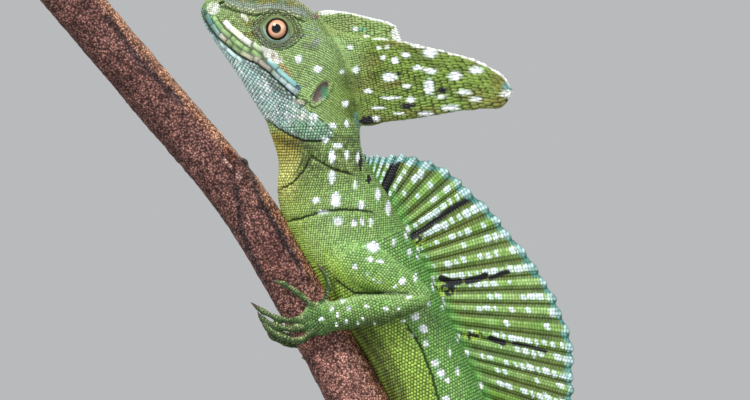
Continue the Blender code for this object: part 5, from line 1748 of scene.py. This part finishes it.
def make_fin(name, fin, grid, colour_of, columns, pitch):
    """The fin's web, and its coat of small scales in rows along the rays."""
    points, faces = fin.mesh(*grid)
    web = build_mesh(name, points, faces)
    at, share = (np.tile(values.ravel(), 2) for values in fin.grid(*grid))
    # the web under the scales is darkened as painted shade in the gaps between them
    set_colours(web.data, colour_of(points, np.ones(len(points)), np.stack([share, at], axis=1)) * 0.55)
    coat = Coat(f"{name}_scales", HEX, 0.13, 0.04)
    for column in range(fin.last * columns):
        place = (column + 0.5) / columns
        ends = fin.point(np.array([place, place]), np.array([0.0, 1.0]), 0)
        count = int(np.linalg.norm(ends[1] - ends[0]) / pitch)
        if count < 2:
            continue
        shares = (np.arange(count) + 0.25 + 0.5 * (column % 2)) / count
        shares = shares[shares < 0.985]
        places = np.full(len(shares), place)
        for side in (-1, 1):
            here = fin.point(places, shares, side)
            ahead = fin.point(places, np.minimum(shares + 0.01, 1), side) - here
            half = 0.5 / columns
            wide = fin.point(places + half, shares, side) - fin.point(places - half, shares, side)
            normals = unit(np.cross(ahead, wide))
            normals *= np.sign(normals[:, 1:2]) * side
            turned = np.sign(np.sum(np.cross(normals, ahead) * wide, axis=1))
            sizes = np.stack([np.full(len(shares), pitch), np.linalg.norm(wide, axis=1)], axis=1)
            sizes[:, 1] = np.maximum(sizes[:, 1] * 1.02, 0.3)
            changes = np.stack([np.full(len(shares), 1 / count), turned / columns], axis=1)
            marks = np.hstack([np.stack([shares, places], axis=1), changes])
            u = np.full(len(shares), 0.01 + 0.98 * column / (fin.last * columns))
            v = 0.5 + 0.25 * side + 0.44 * (shares - 0.5)
            coat.add(here, normals, ahead, sizes, np.stack([u, v], axis=1), marks)
    return web, coat.build(colour_of, 0.7, False)


# Eyes, claws, stem


EYE_ROWS = 60
EYE_SIDES = 96
EYE_INSET = 0.00015  # in metres
EYE_RADIUS = 4.15
EYE_BACK = 9.0  # the reach given to the hidden half of the ball
PUPIL_SHIFT = (0.35, 0.2)
IRIS = tone(230, 166, 136)
IRIS_WARM = tone(228, 178, 142)
IRIS_STREAK = tone(180, 104, 82)
IRIS_PALE = tone(236, 196, 160)
IRIS_EDGE = tone(52, 26, 20)
PUPIL = tone(6, 7, 16)
CLAW = tone(70, 56, 42)
CLAW_START = 0.84  # share of the digit


def make_eye(side, node):
    """An eyeball looking a little up and forward, with a clear bulge over the iris."""
    low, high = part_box(node)
    middle = (low + high) / 2
    radius = (high.x - low.x) / 2 - EYE_INSET
    turn = Vector((0.02, side, -0.02)).normalized().to_track_quat("Z", "Y")
    polars = math.pi * (np.arange(EYE_ROWS + 1) / EYE_ROWS) ** 1.5
    points = []
    for polar in polars.tolist():
        bulge = 1.0 + 0.035 * max(0.0, math.cos(polar * 1.9)) * (polar < 0.83)
        high, wide = math.cos(polar), math.sin(polar)
        for j in range(EYE_SIDES):
            around = 2 * math.pi * j / EYE_SIDES
            spot = Vector((wide * math.cos(around), wide * math.sin(around), high))
            points.append((middle + turn @ (spot * radius * bulge))[:])
    index = np.arange(len(points)).reshape(-1, EYE_SIDES)
    after = np.roll(index, -1, axis=1)
    faces = np.stack([index[:-1], index[1:], after[1:], after[:-1]], axis=-1).reshape(-1, 4)
    name = "eyeball_left" if side < 0 else "eyeball_right"
    eye = build_mesh(name, np.array(points), [faces], in_working_frame=False)
    polar = np.repeat(polars, EYE_SIDES)
    around = np.tile(2 * np.pi * np.arange(EYE_SIDES) / EYE_SIDES, EYE_ROWS + 1)
    reach = np.where(polar > math.pi / 2, EYE_BACK, np.sin(polar) * EYE_RADIUS)
    streaks = (np.sin(around * 23) > 0.2) * step_down(-reach, -2.9, -1.7)
    colour = mix(IRIS, IRIS_WARM, 0.5 + 0.5 * np.sin(around * 3 + 1) * 0.8)
    colour = mix(colour, IRIS_STREAK, 0.4 * streaks)
    colour = mix(colour, IRIS_PALE, step_down(np.abs(reach - 1.75), 0.1, 0.35) * 0.6)
    colour = mix(colour, IRIS_EDGE, step_down(-reach, -3.05, -2.78))
    aside = reach * np.cos(around) - PUPIL_SHIFT[0] * side
    pupil = np.hypot(aside, reach * np.sin(around) - PUPIL_SHIFT[1])
    colour = mix(colour, PUPIL, step_down(pupil, 1.45, 1.6))
    set_colours(eye.data, colour)
    return eye


def make_claws():
    """A curved, tapering claw on the end of every digit."""
    share = np.linspace(0, 1, 80)
    kept = share >= CLAW_START
    taper = 0.62 * (1 - 0.9 * ((share[kept] - CLAW_START) / (1 - CLAW_START)) ** 1.3)
    parts = []
    for mirror, arm_slip, leg_slip, fingers in SIDES.values():
        for paths, radius, slip in ((fingers, FINGER_RADIUS, arm_slip), (TOES, TOE_RADIUS, leg_slip)):
            for path in paths:
                line = digit_line(path, mirror, slip, len(share))[kept]
                parts.append(sweep(line, radius * taper, radius * taper * 0.7, ends="open").mesh(14, 12))
    claws = build_mesh("claws", *joined(parts))
    set_colours(claws.data, np.tile(CLAW, (len(claws.data.vertices), 1)))
    return claws


SCARS = ((146.0, 205.0, 4.4, 3.0, -1.0),)  # x, drop, half length, half width, tilt
KNOT_TILT = -0.88
KNOT = (  # x, drop, half length along the stem, half width, tone, rise
    (78.4, 55.4, 6.4, 3.6, BARK_DARK, 0.25),
    (76.0, 50.9, 3.2, 1.3, KNOT_RED, -0.55),
    (75.4, 54.0, 3.0, 0.6, KNOT_PALE, 0.35),
    (79.1, 58.1, 1.7, 1.2, KNOT_PALE, 0.6),
    (81.3, 53.0, 2.0, 2.2, KNOT_BLACK, 0.9),
)
GROOVES = (  # x and drop along each
    ((77.9, 61.9), (79.0, 69.0), (79.8, 77.0), (86.0, 90.0)),
    ((82.8, 56.2), (85.9, 65.7), (91.2, 75.2), (99.0, 88.0)),
    ((36.0, 6.0), (46.0, 20.0), (60.0, 34.0)),
)
LIT_SIDE = np.array((0.768, 0.0, 0.64))  # across the stem, to its upper right side, which is painted as lit
BARK_INSET = 0.45  # leaves room for the relief inside the solid
BARK_SIDES = 112
STEM_RADIUS = 9.5
YEAR_RINGS = 42


def make_branch():
    """The stem, with bark that is ridged and grained, the scars of side shoots, and sawn ends; its upper
    right side is painted as lit and its lower left side with painted shade.
    """
    x, drop, radius = catmull(PERCH, np.linspace(0, 1, 200)).T
    line = working(np.stack([x, drop, np.zeros(len(x))], axis=1))
    tube = sweep(line, radius - BARK_INSET, radius - BARK_INSET, ends="flat")
    cap = len(CAPS["flat"][0])
    bark_runs = np.linspace(tube.run[cap], tube.run[-cap - 1], 430)
    runs = np.concatenate([tube.run[:cap], bark_runs, tube.run[-cap:]])
    points, faces = tube.mesh(runs, BARK_SIDES)
    shell = points[: len(runs) * BARK_SIDES]
    middle = tube.parts(np.repeat(runs, BARK_SIDES))[0]
    out = unit(shell - middle)
    relief = 0.34 * (value_noise(shell, 1.3, 31) - 0.5) + 0.36 * (value_noise(shell, 6.0, 32) - 0.5)
    seen = shell[:, 1] < 0
    for scar in SCARS:
        ring = ellipse(shell, *scar)
        rim = 1.5 * np.exp(-(((ring - 0.9) / 0.35) ** 2))
        relief += seen * (rim - 0.5 * step_down(ring, 0.3, 0.7))
    relief = np.clip(relief, -0.6, 0.42)
    for path in GROOVES:
        relief -= 0.4 * step_down(along_path(shell, path)[0], 0.1, 0.9) * seen
    for *oval, _, rise in KNOT:
        ring = ellipse(shell, *oval, KNOT_TILT)
        relief += rise * step_down(ring, 0.3, 1.1) * (shell[:, 1] < 2)
    row = np.arange(len(runs))
    on_bark = np.repeat((row >= cap) & (row < len(runs) - cap), BARK_SIDES)
    points[: len(shell)] = shell + out * (relief * on_bark)[:, None]
    branch = build_mesh("branch", points, faces)
    bark = mix(BARK, BARK_DARK, 0.8 * value_noise(points, 4.0, 34))
    bark = mix(bark, BARK_PALE, 0.7 * value_noise(points, 13.0, 35))
    bark = mix(bark, BARK_DARK, 0.6 * step_down(-points[:, 2], 60.0, 118.0))
    turned = np.zeros(len(points))
    turned[: len(shell)] = out @ LIT_SIDE
    # painted light: the upper right side lighter and browner, the lower left side darker as painted shade
    bark = mix(bark, BARK_LIT, step_down(-turned, -0.92, -0.5) * 0.7)
    bark = mix(bark, BARK_DARK, step_down(turned, -0.95, -0.4) * 0.6)
    near = points[:, 1] < 2
    for scar in SCARS:
        bark = mix(bark, BARK_DARK, step_down(ellipse(points, *scar), 0.35, 0.8) * near * 0.9)
    for path in GROOVES:
        bark = mix(bark, KNOT_BLACK, step_down(along_path(points, path)[0], 0.3, 1.5) * near * 0.8)
    for *oval, shade, _ in KNOT:
        ring = ellipse(points, *oval, KNOT_TILT)
        bark = mix(bark, shade, step_down(ring, 0.6, 1.15) * near * 0.9)
    radius = np.linalg.norm(shell - middle, axis=1) / STEM_RADIUS
    rings = mix(WOOD_CUT, WOOD_RING, 0.5 + 0.5 * np.sin(radius * YEAR_RINGS))
    bark[: len(shell)] = np.where(on_bark[:, None], bark[: len(shell)], rings)
    bark[len(shell):] = WOOD_RING
    set_colours(branch.data, bark)
    return branch


# Materials


class Look:
    """A Principled material and the nodes around it."""

    def __init__(self, name, roughness, **sockets):
        self.material = bpy.data.materials.new(name)
        self.material.use_nodes = True
        self.nodes = self.material.node_tree.nodes
        self.links = self.material.node_tree.links
        self.shader = self.nodes["Principled BSDF"]
        self.shader.inputs["Roughness"].default_value = roughness
        for socket, value in sockets.items():
            self.shader.inputs[socket.replace("_", " ")].default_value = value

    def node(self, kind, **values):
        """A node whose sockets and settings have the given values."""
        made = self.nodes.new(kind)
        for key, value in values.items():
            if key in made.inputs:
                made.inputs[key].default_value = value
            else:
                setattr(made, key, value)
        return made

    def texture(self, kind, output, stretch=None, **values):
        """A texture's output, over object coordinates that can be stretched."""
        place = self.nodes.new("ShaderNodeTexCoord").outputs["Object"]
        if stretch:
            mapping = self.node("ShaderNodeMapping", Scale=stretch)
            self.links.new(place, mapping.inputs["Vector"])
            place = mapping.outputs["Vector"]
        made = self.node(kind, **values)
        self.links.new(place, made.inputs["Vector"])
        return made.outputs[output]

    def noise(self, stretch=None, **values):
        """The value of a noise texture."""
        return self.texture("ShaderNodeTexNoise", "Fac", stretch, **values)

    def marking(self):
        """The colours painted on the piece."""
        return self.node("ShaderNodeAttribute", attribute_name="tint").outputs["Color"]

    def ramp(self, source, stops):
        """Colours between stops, by the source's value."""
        made = self.nodes.new("ShaderNodeValToRGB")
        band = made.color_ramp
        for i, (position, colour) in enumerate(stops):
            stop = band.elements[i] if i < 2 else band.elements.new(position)
            stop.position = position
            stop.color = (*colour, 1.0)
        self.links.new(source, made.inputs["Fac"])
        return made.outputs["Color"]

    def multiply(self, one, two):
        """The product of two colours."""
        made = self.nodes.new("ShaderNodeMix")
        made.data_type = "RGBA"
        made.blend_type = "MULTIPLY"
        made.inputs["Factor"].default_value = 1.0
        self.links.new(one, made.inputs["A"])
        self.links.new(two, made.inputs["B"])
        return made.outputs["Result"]

    def bump(self, source, distance, strength=0.6):
        """Fine relief from the source's value."""
        made = self.node("ShaderNodeBump", Strength=strength, Distance=distance)
        self.links.new(source, made.inputs["Height"])
        self.links.new(made.outputs["Normal"], self.shader.inputs["Normal"])

    def colour(self, source):
        """Makes the source the material's colour."""
        self.links.new(source, self.shader.inputs["Base Color"])


def tinted(name, roughness, scale, low=0.82, high=1.12, bump=0.00006, **sockets):
    """Colour from the piece's own markings, varied by a fine noise."""
    look = Look(name, roughness, **sockets)
    noise = look.noise(Scale=scale, Detail=3.0, Roughness=0.5)
    vary = look.ramp(noise, ((0.3, (low,) * 3), (0.7, (high,) * 3)))
    look.colour(look.multiply(look.marking(), vary))
    rough = look.ramp(noise, ((0.2, (roughness - 0.08,) * 3), (0.8, (roughness + 0.1,) * 3)))
    look.links.new(rough, look.shader.inputs["Roughness"])
    look.bump(noise, bump)
    return look.material


# Shares of the bark's own tone, by the value of each texture
GRAIN_SHADES = (
    (0.26, (2.9, 3.25, 3.2)), (0.42, (1.5, 1.5, 1.5)), (0.58, (0.68, 0.66, 0.68)), (0.8, (0.3, 0.28, 0.3)),
)
FLAKE_SHADES = ((0.36, (0.45, 0.42, 0.43)), (0.5, (1.0, 1.0, 1.0)), (0.64, (1.7, 1.75, 1.75)))
PATCH_SHADES = ((0.36, (0.62, 0.6, 0.6)), (0.6, (1.18, 1.18, 1.18)))


def bark_material():
    """Granular bark: small pale grains on a dark ground, over the stem's own tones."""
    look = Look("bark", 0.82, Specular_IOR_Level=0.25)
    cells = look.texture("ShaderNodeTexVoronoi", "Distance", Scale=1350.0, Randomness=1.0)
    grains = look.ramp(cells, GRAIN_SHADES)
    flakes = look.ramp(look.noise(Scale=700.0, Detail=6.0, Roughness=0.7), FLAKE_SHADES)
    patches = look.ramp(look.noise(Scale=260.0, Detail=3.0, Roughness=0.5), PATCH_SHADES)
    colour = look.multiply(look.multiply(look.marking(), grains), flakes)
    look.colour(look.multiply(colour, patches))
    look.bump(grains, 0.0001, 0.8)
    return look.material


def streaked(name, roughness, stretch, dark, pale, bump, metallic=0.0, **values):
    """Streaks between two tones."""
    look = Look(name, roughness, Metallic=metallic)
    streaks = look.noise(stretch, **values)
    look.colour(look.ramp(streaks, ((0.3, dark), (0.7, pale))))
    look.bump(streaks, bump)
    return look.material


def dress(obj, material, slot, *nodes):
    """Gives a piece its material and body, and hides the solids it stands for; its slot is not used."""
    obj.data.materials.clear()
    obj.data.materials.append(material)
    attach(obj, "root")
    if nodes:
        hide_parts(*nodes)


FLOOR_HALF = 3.5  # in metres
LAMPS = (  # place relative to the subject, size, power, colour
    ((-0.9, -1.3, 1.5), 0.8, 50.0, (1.0, 0.98, 0.95)),
    ((1.3, -0.9, 0.7), 1.0, 11.0, (0.93, 0.97, 1.0)),
    ((0.5, 1.4, 1.2), 0.8, 22.0, (1.0, 1.0, 1.0)),
)
SENSOR = 36.0


def make_stage():
    """A pale floor, three soft lamps, an even grey around, and the camera of the photo."""
    corners = np.array(((-1, -1, 0), (1, -1, 0), (1, 1, 0), (-1, 1, 0))) * FLOOR_HALF
    floor = build_mesh("floor", corners, [np.array(((0, 1, 2, 3),))], in_working_frame=False)
    look = Look("pale_floor", 0.7)
    noise = look.noise(Scale=3.0, Detail=3.0, Roughness=0.5)
    look.colour(look.ramp(noise, ((0.3, (0.50, 0.50, 0.49)), (0.7, (0.54, 0.54, 0.53)))))
    floor.data.materials.append(look.material)
    world = bpy.data.worlds.new("studio")
    world.use_nodes = True
    background = world.node_tree.nodes["Background"]
    background.inputs["Color"].default_value = (0.80, 0.82, 0.83, 1.0)
    background.inputs["Strength"].default_value = 0.6
    bpy.context.scene.world = world
    target = Vector(((VIEW_CORNER_X + VIEW_WIDTH / 2) * MM, 0.0, (VIEW_CORNER_Z - VIEW_HEIGHT / 2) * MM))
    for i, (place, size, power, colour) in enumerate(LAMPS):
        lamp = bpy.data.lights.new(f"softbox_{i}", "AREA")
        lamp.size = size
        lamp.energy = power
        lamp.color = colour
        holder = add_to_scene(bpy.data.objects.new(lamp.name, lamp))
        holder.location = target + Vector(place)
        holder.rotation_euler = (-Vector(place)).to_track_quat("-Z", "Y").to_euler()
    camera = bpy.data.cameras.new("camera")
    camera.sensor_width = SENSOR
    camera.lens = SENSOR * CAMERA_DISTANCE / VIEW_WIDTH
    camera.clip_start = 0.05
    camera.clip_end = 60.0
    holder = add_to_scene(bpy.data.objects.new("camera", camera))
    holder.location = target + Vector((0, -CAMERA_DISTANCE * MM, 0))
    holder.rotation_euler = (math.pi / 2, 0, 0)
    bpy.context.scene.camera = holder
    bpy.context.scene.view_settings.view_transform = "Standard"


def flesh_nodes():
    """The solids that the one skin stands for."""
    names = ["head", "neck", "torso", "head_crest_front", "head_crest_rear"]
    names += [f"tail_{i}" for i in range(1, 6)]
    for side in ("left", "right"):
        names += [f"{part}_{side}" for part in ("upper_arm", "forearm", "hand", "thigh", "shin", "foot")]
    return names


def main():
    """Makes and dresses every piece."""
    hide = tinted("scaly_hide", 0.55, 900.0, 0.85, 1.1, 0.00005, Specular_IOR_Level=0.3)
    scale = tinted("scale", 0.42, 1400.0, 0.9, 1.08, 0.00003, Specular_IOR_Level=0.35)
    plate = tinted("crest_plate", 0.42, 900.0, 0.86, 1.1, 0.00005, Specular_IOR_Level=0.4)
    mesh, points, normals = make_skin()
    laid = Laid(points, normals, read_values(mesh.loops, "vertex_index", np.int32, 1).reshape(-1, 3))
    for coat in lay_coats(laid):
        dress(coat.build(scale_colour), scale, "scaly_skin")
    for coat in lay_crest(laid):
        dress(coat.build(scale_colour, 0.42, False), plate, "crest_skin")
    dress(lay_lips(laid).build(scale_colour, 0.6, False), plate, "scaly_skin")
    dress(finish_skin(mesh, points, normals), hide, "scaly_skin", *flesh_nodes())
    for node, *details in (
        ("dorsal_crest", "sail", SAIL, (10, 40), sail_paint, 4, 0.95),
        ("tail_crest", "tail_fin", TAIL_SAIL, (8, 16), tail_fin_paint, 4, 1.0),
    ):
        web, scales = make_fin(*details)
        dress(web, hide, "crest_skin", node)
        dress(scales, scale, "crest_skin")
    gloss = {"Coat_Weight": 0.6, "Coat_Roughness": 0.03, "Specular_IOR_Level": 0.25}
    wet = tinted("eye_surface", 0.12, 2600.0, 0.9, 1.08, 0.0, **gloss)
    dress(make_eye(-1, "eye_left"), wet, "eye", "eye_left")
    dress(make_eye(1, "eye_right"), wet, "eye", "eye_right")
    dress(make_claws(), tinted("horn", 0.35, 1500.0), "scaly_skin")
    dress(make_branch(), bark_material(), "bark", "perch")
    wood = streaked(
        "dark_wood", 0.42, (6.0, 60.0, 60.0), tone(52, 34, 26), tone(104, 72, 52), 0.0002,
        Scale=3.0, Detail=6.0, Distortion=0.6,
    )
    steel = streaked(
        "brushed_steel", 0.34, (60.0, 60.0, 7000.0), tone(168, 168, 170), tone(186, 186, 188), 0.00001,
        metallic=1.0, Scale=1.0, Detail=3.0,
    )
    for name, material in (("stand_base", wood), ("stand_rod_upper", steel), ("stand_rod_lower", steel)):
        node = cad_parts[name]
        node.data.materials.clear()
        node.data.materials.append(material)
    make_stage()


main()
